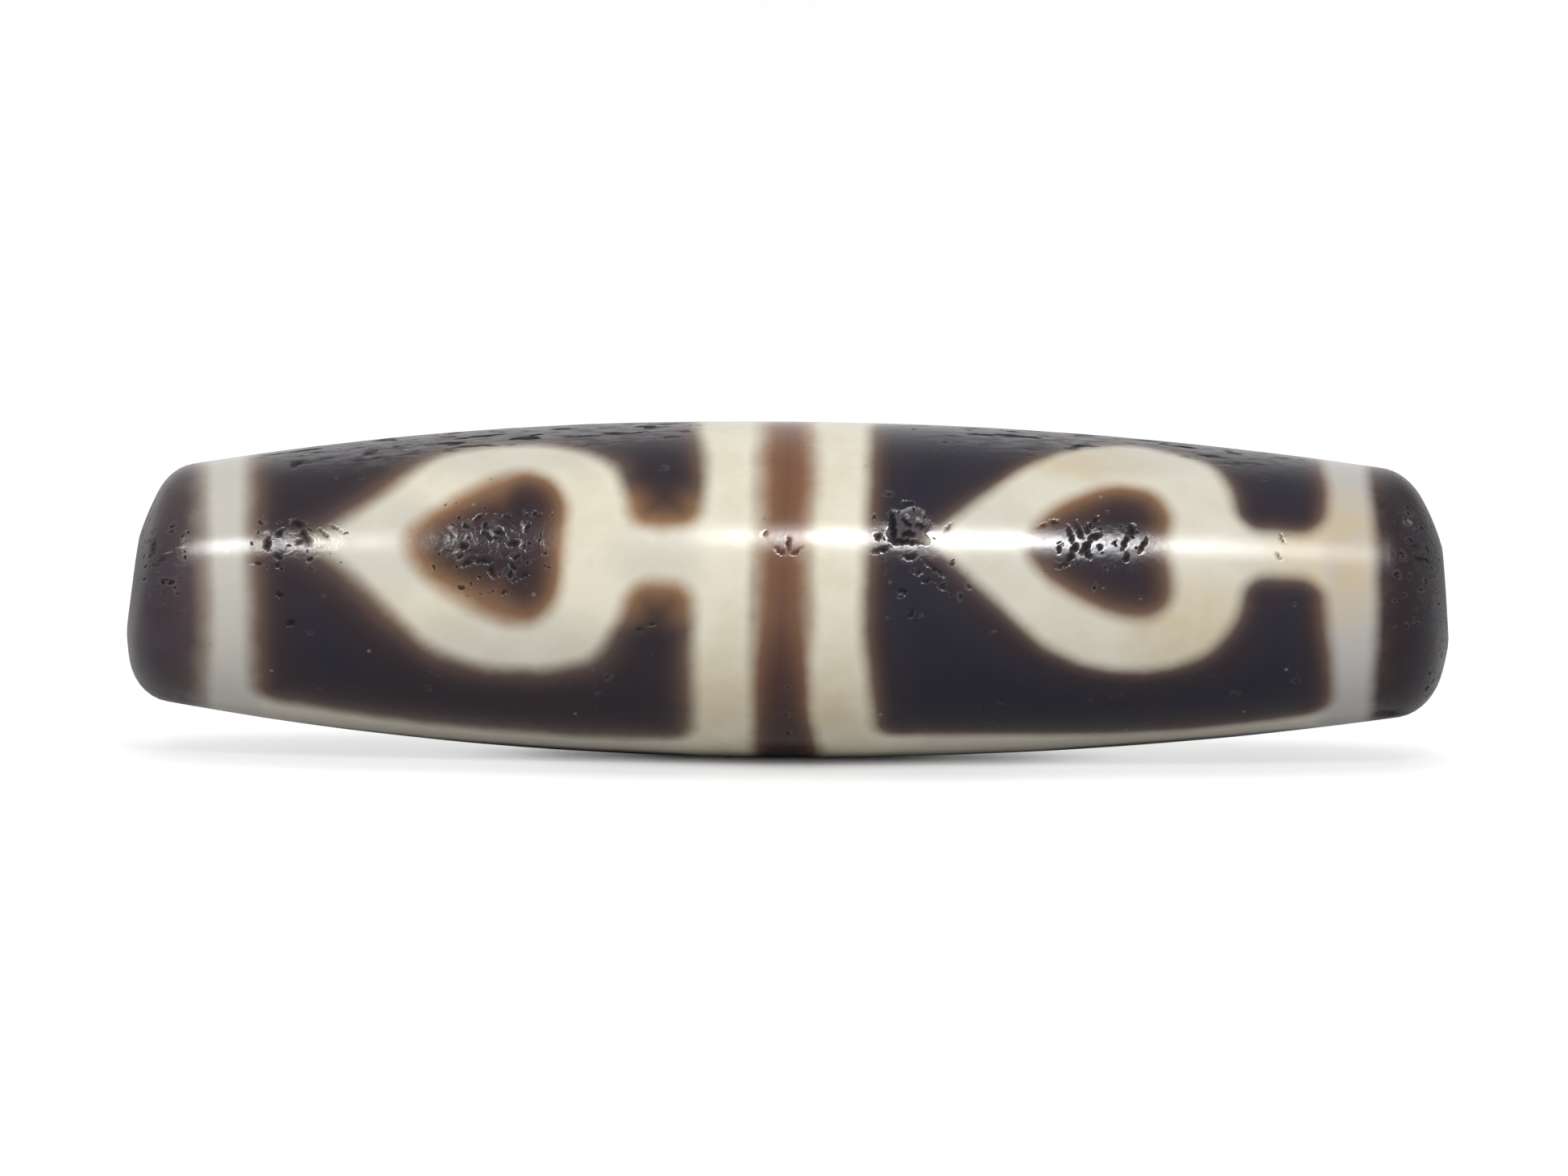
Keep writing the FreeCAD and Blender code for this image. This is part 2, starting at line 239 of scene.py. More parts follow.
@dataclass
class BeadStone:
    """The stone: a barrel of three tangent arcs with two leaning, domed ends, worn rims and a bore.

    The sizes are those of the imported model. The mesh is one closed grid: one direction runs round the
    meridian, over the outside, round one end, back through the bore and round the other end, and the other
    is the turn.
    """

    left: EndSizes = EndSizes(reach=24.81, rim_diameter=8.40, lean=7.0, crown_radius=10.4, rim_round=2.0)
    right: EndSizes = EndSizes(reach=24.89, rim_diameter=8.84, lean=4.5, crown_radius=8.8, rim_round=2.4)
    belly_offset: float = 0.46
    belly_diameter: float = 12.71
    belly_half_width: float = 3.0
    belly_arc_radius: float = 208.0
    seat_diameter: float = 3.6
    bore_diameter: float = 2.0
    mouth_round: float = 0.25
    core_radius: float = 2.6
    core_reach: float = 22.0
    outside_rows: int = 404
    end_rows: int = 28
    bore_rows: int = 14
    turns: int = 206
    close_stations: tuple[Point, ...] = (
        (-20.1, -16.7), (-12.6, -9.2), (-1.0, 0.6), (3.1, 6.3), (9.4, 13.9), (18.2, 18.9),
    )
    close_turns: tuple[Point, ...] = ((-12.0, 40.0),)
    closeness: float = 4.0
    slack: float = 0.006
    seam_turn: float = -110.0
    unrolled_radius: float = 6.0
    legs: int = 4
    leg_samples: int = 3000
    turn_samples: int = 3600
    halvings: int = 30
    least_rho: float = 0.1
    end_gap: float = 1e-9

    def flank_arc(self, side: int) -> tuple[float, float, float]:
        """The arc of one flank, which is tangent to the belly's arc and runs through the rim.

        Args:
            side: -1 for the left flank or 1 for the right one.

        Returns:
            The arc's centre along the bore, its centre above it and its radius.
        """
        end = self.left if side < 0 else self.right
        turn = math.asin(self.belly_half_width / self.belly_arc_radius)
        joint_x = -self.belly_offset + side * self.belly_half_width
        joint_z = self.belly_diameter / 2 - self.belly_arc_radius * (1 - math.cos(turn))
        run = side * (side * end.reach - joint_x)
        drop = joint_z - end.rim_diameter / 2
        radius = math.hypot(run, drop) / 2 / math.sin(math.atan2(drop, run) - turn)
        return joint_x - side * radius * math.sin(turn), joint_z - radius * math.cos(turn), radius

    def arcs(self, x: Array) -> tuple[Array, Array, Array]:
        """Which of the three arcs the outline follows at each station.

        Args:
            x: places along the bore.

        Returns:
            The arc's centre along the bore, its centre above it and its radius, for each place.
        """
        belly = (-self.belly_offset, self.belly_diameter / 2 - self.belly_arc_radius, self.belly_arc_radius)
        on_left = x < -self.belly_offset - self.belly_half_width
        on_right = x > -self.belly_offset + self.belly_half_width
        left, right = self.flank_arc(-1), self.flank_arc(1)
        return tuple(
            np.where(on_left, left[item], np.where(on_right, right[item], belly[item])) for item in range(3)
        )

    def radius_at(self, x: Array) -> Array:
        """Radius of the barrel at each station: the height of its arc there, over the bore's axis."""
        centre_x, centre_z, radius = self.arcs(x)
        return centre_z + np.sqrt(radius**2 - (x - centre_x) ** 2)

    def distance(self, x: Array, y: Array, z: Array) -> Array:
        """Signed distance to the stone's surface: the barrel's arcs, each end's flat and dome about its
        leaning axis and the bore's wall, with a rolled corner at each rim and each mouth. Further in than
        its centre, a dome goes on as a tube.

        Args:
            x, y, z: coordinates of the points to measure.

        Returns:
            The distances, negative in the stone.
        """
        rho = np.hypot(y, z)
        centre_x, centre_z, radius = self.arcs(x)
        to_arc = np.hypot(x - centre_x, rho - centre_z)
        flank = to_arc - radius
        flank_x, flank_rho = (x - centre_x) / to_arc, (rho - centre_z) / to_arc

        on_left = x < 0
        reach = np.where(on_left, -self.left.reach, self.right.reach)
        lean = np.radians(np.where(on_left, self.left.lean, self.right.lean))
        crown = np.where(on_left, self.left.crown_radius, self.right.crown_radius)
        rim_round = np.where(on_left, self.left.rim_round, self.right.rim_round)
        axis_x, axis_z = np.where(on_left, -1.0, 1.0) * np.cos(lean), np.sin(lean)
        height = (x - reach) * axis_x + z * axis_z
        sink = np.sqrt(crown**2 - (self.seat_diameter / 2) ** 2)
        from_x, from_z = x - reach + sink * axis_x, z + sink * axis_z
        inward = np.minimum(from_x * axis_x + from_z * axis_z, 0.0)
        from_x, from_z = from_x - inward * axis_x, from_z - inward * axis_z
        to_dome = np.sqrt(from_x**2 + y**2 + from_z**2)
        face = np.maximum(height, to_dome - crown)

        rim_cosine = (flank_x * from_x + flank_rho * (y * y + z * from_z) / rho) / to_dome
        outside = rolled_corner(face, flank, rim_cosine, rim_round)
        mouth = rolled_corner(face, self.bore_diameter / 2 - rho, -axis_z * z / rho, self.mouth_round)
        return np.maximum(outside, mouth)

    def rays(self, along: Array) -> tuple[Array, Array, Array, Array]:
        """Where a ray starts in the meridian and which way it points, for each place along the loop. Whole
        numbers part the loop into the outside, the right end, the bore and the left end. A ray starts on a
        core line inside the stone, and at the line's ends the rays fan round by half a turn.

        Args:
            along: places from 0 to 4.

        Returns:
            Start along the bore, start above it, direction along the bore and direction above it.
        """
        leg = np.minimum(along.astype(int), self.legs - 1)
        share = along - leg
        start_x = np.choose(leg, [2 * share - 1, np.ones_like(share), 1 - 2 * share, -np.ones_like(share)])
        up = np.full_like(share, QUARTER_TURN)
        angle = np.choose(leg, [up, up - HALF_TURN * share, -up, -up - HALF_TURN * share])
        angle = np.radians(angle)
        start_rho = np.full_like(share, self.core_radius)
        return start_x * self.core_reach, start_rho, np.cos(angle), np.sin(angle)

    def cast(self, along: Array, turn: Array) -> tuple[Array, Array]:
        """Where rays meet the surface, found by halving the stretch in which the distance changes sign.

        Args:
            along: places along the meridian loop, from 0 to 4.
            turn: turns round the bore, in degrees.

        Returns:
            Places along the bore and distances from its axis.
        """
        start_x, start_rho, step_x, step_rho = self.rays(along)
        low = np.zeros(np.broadcast(along, turn).shape)
        high = low + self.belly_diameter / 2
        cosine, sine = np.cos(np.radians(turn)), np.sin(np.radians(turn))
        for _ in range(self.halvings):
            middle = (low + high) / 2
            rho = np.maximum(start_rho + middle * step_rho, self.least_rho)
            inside = self.distance(start_x + middle * step_x, -rho * cosine, rho * sine) < 0
            low, high = np.where(inside, middle, low), np.where(inside, high, middle)
        return start_x + low * step_x, start_rho + low * step_rho

    def crowding(self, place: Array, stretches: tuple[Point, ...]) -> Array:
        """How close the grid's lines stand: 1, and closeness times as close in the given stretches."""
        within = np.any([(place > start) & (place < end) for start, end in stretches], axis=0)
        return np.where(within, self.closeness, 1.0)

    def meridian(self) -> Array:
        """Spaces the grid's rows along the meridian loop. Each of its four legs has its own number of rows,
        which are spaced by length, and closer where the outside is worn.

        Returns:
            The rows' places, from 0 to 4.
        """
        places = []
        for leg, rows in enumerate((self.outside_rows, self.end_rows, self.bore_rows, self.end_rows)):
            fine = np.linspace(leg, leg + 1 - self.end_gap, self.leg_samples)
            x, rho = self.cast(fine, np.zeros_like(fine))
            steps = np.hypot(np.diff(x), np.diff(rho))
            if leg == 0:
                steps = steps * self.crowding(x[1:], self.close_stations)
            length = np.concatenate([[0.0], np.cumsum(steps)])
            places.append(np.interp(np.arange(rows) / rows * length[-1], length, fine))
        return np.concatenate(places)

    def columns(self) -> Array:
        """Spaces the grid's columns, from the seam once round, closer where the outside is worn.

        Returns:
            The columns' turns, in degrees.
        """
        fine = np.linspace(self.seam_turn, self.seam_turn + FULL_TURN, self.turn_samples + 1)
        length = np.concatenate([[0.0], np.cumsum(self.crowding(fine[1:], self.close_turns))])
        return np.interp(np.arange(self.turns) / self.turns * length[-1], length, fine)

    def surface(self) -> tuple[Array, Array, Array]:
        """The grid of the clean stone: rows run along the meridian and columns round the bore.

        Returns:
            Place along the bore, distance from its axis and turn of each point, in rows and columns.
        """
        along = self.meridian()[:, None]
        turn = self.columns()[None, :]
        x, rho = self.cast(along, turn)
        return x, rho, np.broadcast_to(turn, x.shape)

    def unrolled(self, x: Array, rho: Array, turn: Array) -> Array:
        """Where each corner of each face lies on the stone when it is unrolled flat, in millimetres: the
        first coordinate is the length along the meridian from the middle, and the second is the turn's arc
        at one radius. One seam runs round the middle of the bore, and the other along the underside.

        Args:
            x, rho, turn: the grid that surface gives.

        Returns:
            Two coordinates for each of the four corners of each face.
        """
        run, rise = np.diff(x[:, 0], append=x[0, 0]), np.diff(rho[:, 0], append=rho[0, 0])
        length = np.concatenate([[0.0], np.cumsum(np.hypot(run, rise))])
        outside = slice(0, self.outside_rows)
        middle = np.interp(0.0, x[outside, 0], length[outside])
        seam_row = self.outside_rows + self.end_rows + self.bore_rows // 2
        past_seam = np.where(np.arange(len(x)) < seam_row, 0.0, length[-1])
        start, end = length[:-1] - past_seam - middle, length[1:] - past_seam - middle
        first = np.radians(turn[0]) * self.unrolled_radius
        last = np.radians(np.append(turn[0, 1:], turn[0, 0] + FULL_TURN)) * self.unrolled_radius
        start, end = (np.broadcast_to(value[:, None], x.shape) for value in (start, end))
        first, last = (np.broadcast_to(value[None, :], x.shape) for value in (first, last))
        return np.stack([start, first, end, first, end, last, start, last], axis=-1)


@dataclass(frozen=True)
class Patch:
    """A soft-edged patch on the unrolled stone: where it is, how far it reaches both ways and how strong it
    is."""

    x: float
    turn: float
    reach_x: float
    reach_around: float
    strength: float
    edge: ClassVar[Ramp] = Ramp(0.35, 1.0, before=1.0, after=0.0)

    def cover(self, x: Array, turn: Array, radius: Array) -> Array:
        """The patch's strength at each point: full in the middle, and falling smoothly to nothing at its
        reach.

        Args:
            x, turn: the points.
            radius: the stone's radius at each point.

        Returns:
            The strength at each point.
        """
        around = np.radians(turn_between(turn, self.turn)) * radius
        away = np.hypot((x - self.x) / self.reach_x, around / self.reach_around)
        return self.strength * self.edge.at(away)


def cover_of(patches: tuple[Patch, ...], x: Array, turn: Array, radius: Array) -> Array:
    """The strongest patch at each point."""
    return np.maximum.reduce([patch.cover(x, turn, radius) for patch in patches])


@dataclass(frozen=True)
class Ring:
    """One white ring. Its two edges wander: each is given where it crosses evenly spaced turns of half the
    bead."""

    left_edge: tuple[float, ...]
    right_edge: tuple[float, ...]

    def edge_at(self, edge: tuple[float, ...], turn: Array) -> Array:
        """Where an edge lies, on Catmull-Rom cubics whose parameter is the turn.

        Args:
            edge: the edge's places along the bore.
            turn: the turns to look at, from the middle of the face.

        Returns:
            The edge's place along the bore at each turn.
        """
        knots = np.asarray(edge)
        step = (turn + QUARTER_TURN) / HALF_TURN * len(knots)
        first = np.floor(step).astype(int)
        before, start, end, after = (knots[(first + shift) % len(knots)] for shift in (-1, 0, 1, 2))
        return catmull_rom(before, start, end, after, step - first)

    def distance(self, x: Array, turn: Array) -> Array:
        """Signed distance along the bore to the ring, negative on it."""
        return np.maximum(self.edge_at(self.left_edge, turn) - x, x - self.edge_at(self.right_edge, turn))


@dataclass(frozen=True)
class Leaf:
    """A white leaf with a dark heart in it, and the white stem that ties it to the nearest ring. Outlines
    are points of place along the bore and turn from the middle of the face."""

    outline: tuple[Point, ...]
    heart: tuple[Point, ...]
    stem_from: float
    stem_to: float
    stem_turn: float
    stem_half_turn: float


@dataclass
class DyePattern:
    """The white figures left in the dark dye: four rings, a line along each side and, on each face, two
    leaves. The two faces carry the same figures, half a turn apart, and the far face's are drawn a little
    looser."""

    stone: BeadStone
    face_turn: float = 24.0
    corner_radius: float = 0.8
    line_half_widths: tuple[Point, ...] = (
        (-20.0, 1.33), (-15.0, 1.05), (-8.0, 0.89), (-4.0, 1.05), (3.0, 1.45), (8.0, 1.3), (12.0, 0.87),
        (16.0, 0.76), (20.0, 0.95),
    )
    line_stretches: tuple[Point, ...] = ((-20.6, -3.2), (2.8, 20.6))
    deep_edge_shift: float = 0.12
    far_face: Ramp = Ramp(92.0, 125.0)
    far_ripples_x: tuple[Ripple, ...] = (Ripple(0.22, 0.42, phase=1.3), Ripple(0.12, 0.0, 3.0))
    far_ripples_turn: tuple[Ripple, ...] = (Ripple(3.2, 0.3, phase=0.6), Ripple(1.6, 0.8))
    left_end: Ring = Ring(
        left_edge=(-22.1, -22.0, -21.88, -22.0, -22.16, -22.16),
        right_edge=(-20.15, -20.13, -20.21, -20.3, -20.26, -20.3),
    )
    middle_left: Ring = Ring(
        left_edge=(-3.6, -3.6, -3.65, -3.45, -3.22, -3.55),
        right_edge=(-1.15, -1.18, -1.27, -1.13, -1.1, -1.0),
    )
    middle_right: Ring = Ring(
        left_edge=(1.1, 0.76, 0.82, 0.8, 0.99, 0.85),
        right_edge=(3.4, 3.27, 2.9, 3.0, 3.1, 3.2),
    )
    right_end: Ring = Ring(
        left_edge=(20.2, 20.5, 20.2, 20.0, 20.27, 20.0),
        right_edge=(22.15, 22.23, 22.3, 22.27, 22.1, 22.0),
    )
    left_leaf: Leaf = Leaf(
        outline=(
            (-18.25, 1), (-16.15, 15), (-14.85, 25.3), (-13.4, 40), (-11.9, 45.7), (-10.4, 46.5),
            (-8.9, 44.5), (-7.4, 37), (-6.35, 26), (-5.9, 0), (-6.15, -22), (-6.55, -32.3), (-7.3, -42.7),
            (-8.6, -47.1), (-10.3, -48.5), (-11.95, -47.1), (-13.45, -40.6), (-14.95, -27.3), (-16.3, -14.2),
            (-18.25, 1),
        ),
        heart=(
            (-14.45, 1), (-13.7, 10), (-12.3, 20), (-11.1, 26.3), (-10.2, 29), (-9.45, 27.2), (-8.75, 21.4),
            (-8.35, 13), (-8.43, 3), (-8.5, -8.3), (-8.73, -20.5), (-9.38, -27.7), (-10.1, -29.8),
            (-11.2, -28.3), (-12.3, -23.1), (-13.7, -13.8),
        ),
        stem_from=-6.5,
        stem_to=-3.0,
        stem_turn=-5.4,
        stem_half_turn=9.5,
    )
    right_leaf: Leaf = Leaf(
        outline=(
            (5.05, 0.5), (6.55, 13), (8.05, 26), (9.57, 39), (11.05, 49.3), (12.9, 56), (14.5, 51.8),
            (15.85, 44.8), (16.7, 30), (16.95, 18), (17.15, 0), (17.2, -17), (17.0, -27), (16.35, -37.2),
            (15.35, -45), (13.6, -48.6), (11.8, -47.2), (10.0, -39.9), (8.5, -28), (6.85, -14.2),
            (5.05, 0.5),
        ),
        heart=(
            (9.05, 0), (9.75, 12), (11.0, 20.2), (12.0, 25.3), (12.9, 25.7), (13.8, 22.2), (14.35, 12.5),
            (14.15, 0), (14.4, -13), (14.2, -22), (13.3, -26.5), (12.0, -24), (10.7, -18.2), (9.6, -10.5),
        ),
        stem_from=16.5,
        stem_to=20.5,
        stem_turn=-0.95,
        stem_half_turn=10.65,
    )
    thin_places: tuple[Patch, ...] = (
        Patch(-11.2, 0, 6.4, 5.6, 1.0),
        Patch(-4.8, 8, 2.5, 2.1, 1.0),
        Patch(-4.9, -18, 2.5, 2.1, 0.95),
        Patch(11.8, 17, 4.6, 3.4, 0.85),
        Patch(12.0, -14, 4.6, 3.6, 0.4),
    )
    quick_places: tuple[Patch, ...] = (
        Patch(-9.1, 0, 2.0, 5.2, 0.7),
        Patch(-12.0, 0, 2.6, 2.2, 0.35),
        Patch(-4.7, 12, 2.4, 3.2, 0.26),
        Patch(-4.9, -22, 2.6, 3.2, 0.2),
    )
    warm_places: tuple[Patch, ...] = (
        Patch(-2.3, -56, 2.0, 2.4, 0.4),
        Patch(1.8, -60, 1.8, 2.4, 0.4),
        Patch(15.0, -32, 3.2, 2.8, 0.55),
        Patch(20.3, 2, 3.4, 4.6, 0.62),
        Patch(11.2, 38, 3.5, 1.6, 0.45),
    )
    # Grey patches on the white figures. Those on the leaves' upper lobes, at turns 40 and 44, are partly
    # painted shade on the upper side.
    ashen_and_shaded_places: tuple[Patch, ...] = (
        Patch(-15.3, 0, 3.4, 3.2, 0.42),
        Patch(-5.0, -5, 2.4, 2.4, 0.3),
        Patch(-10.4, 40, 5.5, 2.4, 0.36),
        Patch(-10.4, -40, 5.5, 2.4, 0.36),
        Patch(12.5, 44, 5.5, 2.4, 0.5),
        Patch(8.0, 0, 3.0, 4.0, 0.4),
        Patch(18.8, 0, 3.4, 3.0, 0.5),
    )
    ashen_stretches: tuple[Ramp, ...] = (
        Ramp(-20.2, -19.2, before=0.72, after=0.0),
        Ramp(-17.5, -9.0, before=0.15, after=0.0),
        Ramp(19.3, 20.6),
        Ramp(0.5, 10.0, after=0.28),
    )
    ashen_line: Ramp = Ramp(70.0, 82.0, after=0.4)
    ashen_line_start: Ramp = Ramp(3.0, 6.0)
    ring_thinness: Ramp = Ramp(0.2, 1.0, before=0.18, after=0.0)
    thin_band: Ramp = Ramp(1.1, 1.5, before=1.0, after=0.0)
    band_thinness: float = 0.6
    band_thinness_above: float = 0.32
    band_turn: float = 5.0
    soak_band: Ramp = Ramp(1.2, 1.6, before=1.0, after=0.0)
    band_soak: Ramp = Ramp(-0.6, 0.0, before=0.6, after=-0.45)
    soak_stretches: tuple[Ramp, ...] = (
        Ramp(1.6, 5.0, after=0.3),
        Ramp(-5.0, -1.6, before=-0.28, after=0.0),
        Ramp(-22.5, -21.5, before=-0.3, after=0.0),
    )
    rust_band: Ramp = Ramp(1.3, 1.7, before=1.0, after=0.0)
    band_rust: float = 0.6
    band_rust_above: float = 0.4
    dulled_ends: tuple[Ramp, ...] = (Ramp(-22.7, -21.9, before=1.0, after=0.0), Ramp(20.6, 22.4))

    def rings(self) -> tuple[Ring, ...]:
        """The four rings, from left to right."""
        return self.left_end, self.middle_left, self.middle_right, self.right_end

    def drawn_place(self, x: Array, turn: Array) -> tuple[Array, Array]:
        """Where each point lies in the figures as they are drawn once: its turn is folded onto one face, and
        on the far face both coordinates sway by slow sine waves, which makes the same figures a little
        different there.

        Args:
            x, turn: the points.

        Returns:
            Each point's place along the bore and turn from the middle of the face, in the drawing.
        """
        from_front = turn_between(turn, self.face_turn)
        far = self.far_face.at(np.abs(from_front))
        around = np.radians(turn)
        drawn_x = x + far * rippled(self.far_ripples_x, x, around)
        drawn_turn = from_front + far * rippled(self.far_ripples_turn, x, around)
        return drawn_x, (drawn_turn + QUARTER_TURN) % HALF_TURN - QUARTER_TURN

    def drawn_cover(self, patches: tuple[Patch, ...], x: Array, turn: Array) -> Array:
        """The strongest at each point of some patches that are drawn once, as the figures are."""
        drawn_x, drawn_turn = self.drawn_place(x, turn)
        return cover_of(patches, drawn_x, drawn_turn, self.stone.radius_at(drawn_x))

    def unroll(self, points: Array) -> Array:
        """Turns an outline's places and turns into millimetres along and across the unrolled face."""
        return np.column_stack([points[:, 0], np.radians(points[:, 1]) * self.stone.radius_at(points[:, 0])])

    def dye_depth(self, x: Array, turn: Array) -> Array:
        """How far each point lies in the dye: rings, lines, stems and leaves are joined with rounded inner
        corners, and then the hearts are taken out of the leaves.

        Args:
            x, turn: the points.

        Returns:
            Distances in millimetres, negative on the white figures.
        """
        x, turn = self.drawn_place(x, turn)
        radius = self.stone.radius_at(x)
        around = np.radians(turn) * radius
        white = np.minimum.reduce([ring.distance(x, turn) for ring in self.rings()])
        widths = curve_through(self.line_half_widths, closed=False)
        half_width = np.interp(x, widths[:, 0], widths[:, 1])
        side_line = np.radians(QUARTER_TURN - np.abs(turn)) * radius - half_width
        for start, end in self.line_stretches:
            stretch = np.maximum(start - x, x - end)
            white = join_rounded(white, np.maximum(side_line, stretch), self.corner_radius)
        for leaf in (self.left_leaf, self.right_leaf):
            beside = np.radians(np.abs(turn - leaf.stem_turn) - leaf.stem_half_turn) * radius
            stem = np.maximum(np.maximum(leaf.stem_from - x, x - leaf.stem_to), beside)
            white = join_rounded(white, stem, self.corner_radius)
            outline = self.unroll(curve_through(leaf.outline, closed=False))
            white = join_rounded(white, distance_to_outline(x, around, outline), self.corner_radius)
        for leaf in (self.left_leaf, self.right_leaf):
            outline = self.unroll(curve_through(leaf.heart, closed=True))
            white = np.maximum(white, -distance_to_outline(x, around, outline))
        return white

    def thinness(self, x: Array, turn: Array) -> Array:
        """How thin the dye stayed: in the hearts and notches, beside the rings, and in the middle band,
        where it thickens towards the underside.

        Args:
            x, turn: the points.

        Returns:
            Shares from 0 to 1.
        """
        drawn_x, drawn_turn = self.drawn_place(x, turn)
        thin = self.drawn_cover(self.thin_places, x, turn)
        for ring in self.rings():
            thin = np.maximum(thin, self.ring_thinness.at(ring.distance(drawn_x, drawn_turn)))
        band = self.thin_band.at(np.abs(drawn_x))
        upward = np.sin(np.radians(turn + self.band_turn))
        in_band = band * (self.band_thinness + self.band_thinness_above * upward)
        return np.where(band > 0, np.maximum(thin * (1 - band), in_band), thin)

    def soak(self, x: Array, turn: Array) -> Array:
        """How fast the dye darkens with depth: slower in the left half and in the upper part of the middle
        band, and faster in the right half, in a few places on the left and in the band's lower part.

        Args:
            x, turn: the points.

        Returns:
            Factors on the depth.
        """
        quick = self.drawn_cover(self.quick_places, x, turn)
        band = self.soak_band.at(np.abs(x)) * self.band_soak.at(np.sin(np.radians(turn)))
        return 1.0 + band + sum(stretch.at(x) for stretch in self.soak_stretches) + quick

    def rust(self, x: Array, turn: Array) -> Array:
        """How reddish the dye is, from 0 to 1: only in the middle band, and most on its upper side."""
        upward = np.sin(np.radians(turn))
        return self.rust_band.at(np.abs(x)) * (self.band_rust + self.band_rust_above * upward)

    def warmth(self, x: Array, turn: Array) -> Array:
        """How much tea-coloured stain a white figure has, from 0 to 1."""
        return self.drawn_cover(self.warm_places, x, turn)

    def ashen(self, x: Array, turn: Array) -> Array:
        """How grey a white figure is: fully in the right end's ring, partly in the left end's, in the lines
        along the sides and in patches on the leaves, those on the upper lobes partly as painted shade, and
        least left of the middle.

        Args:
            x, turn: the points.

        Returns:
            Shares from 0 to 1.
        """
        drawn_turn = self.drawn_place(x, turn)[1]
        patches = self.drawn_cover(self.ashen_and_shaded_places, x, turn)
        lines = self.ashen_line.at(np.abs(drawn_turn)) * self.ashen_line_start.at(np.abs(x))
        return np.maximum.reduce([patches, lines, *(stretch.at(x) for stretch in self.ashen_stretches)])

    def dulled(self, x: Array) -> Array:
        """How much polish the two ends have lost, from 0 to 1."""
        return np.maximum.reduce([end.at(x) for end in self.dulled_ends])


@dataclass(frozen=True)
class Flake:
    """A flake lost from the surface: a shallow hollow with four rough sides."""

    x: float
    turn: float
    half_length: float
    half_width: float
    depth: float
    wall: float = 0.3
    ragged_ends: ClassVar[Ripple] = Ripple(0.10, 0.0, 9.0)
    ragged_sides: ClassVar[Ripple] = Ripple(0.12, 5.0)

    def cover(self, x: Array, turn: Array, radius: Array) -> Array:
        """The hollow's extent, with sides that wander by two sine waves and a wall inside them.

        Args:
            x, turn: the points.
            radius: the stone's radius at each point.

        Returns:
            1 in the hollow and 0 outside it.
        """
        around = np.radians(turn) * radius
        across = np.radians(turn_between(turn, self.turn)) * radius
        sizes = (
            (x - self.x + self.ragged_ends.at(x, around), self.half_length),
            (across + self.ragged_sides.at(x, around), self.half_width),
        )
        cover = np.ones_like(x)
        for away, half in sizes:
            cover = cover * Ramp(half - self.wall, half, before=1.0, after=0.0).at(np.abs(away))
        return cover


@dataclass(frozen=True)
class Mark:
    """A single mark of wear, an oval on the unrolled stone: its middle, along the bore and by turn, its
    length and width, and how its length slants from the bore's direction, counted upwards."""

    x: float
    turn: float
    length: float
    width: float
    slant: float = 0.0
    edge: ClassVar[Ramp] = Ramp(0.5, 1.4, before=1.0, after=0.0)

    def cover(self, x: Array, around: Array, radius: float) -> Array:
        """1 in the mark and 0 outside it, with a soft edge.

        Args:
            x, around: the points on the unrolled stone, in millimetres.
            radius: radius at which it is unrolled.

        Returns:
            The cover of each point.
        """
        right, up = x - self.x, around - math.radians(self.turn) * radius
        cosine, sine = math.cos(math.radians(self.slant)), math.sin(math.radians(self.slant))
        along = (right * cosine + up * sine) / (self.length / 2)
        across = (up * cosine - right * sine) / (self.width / 2)
        return self.edge.at(np.hypot(along, across))


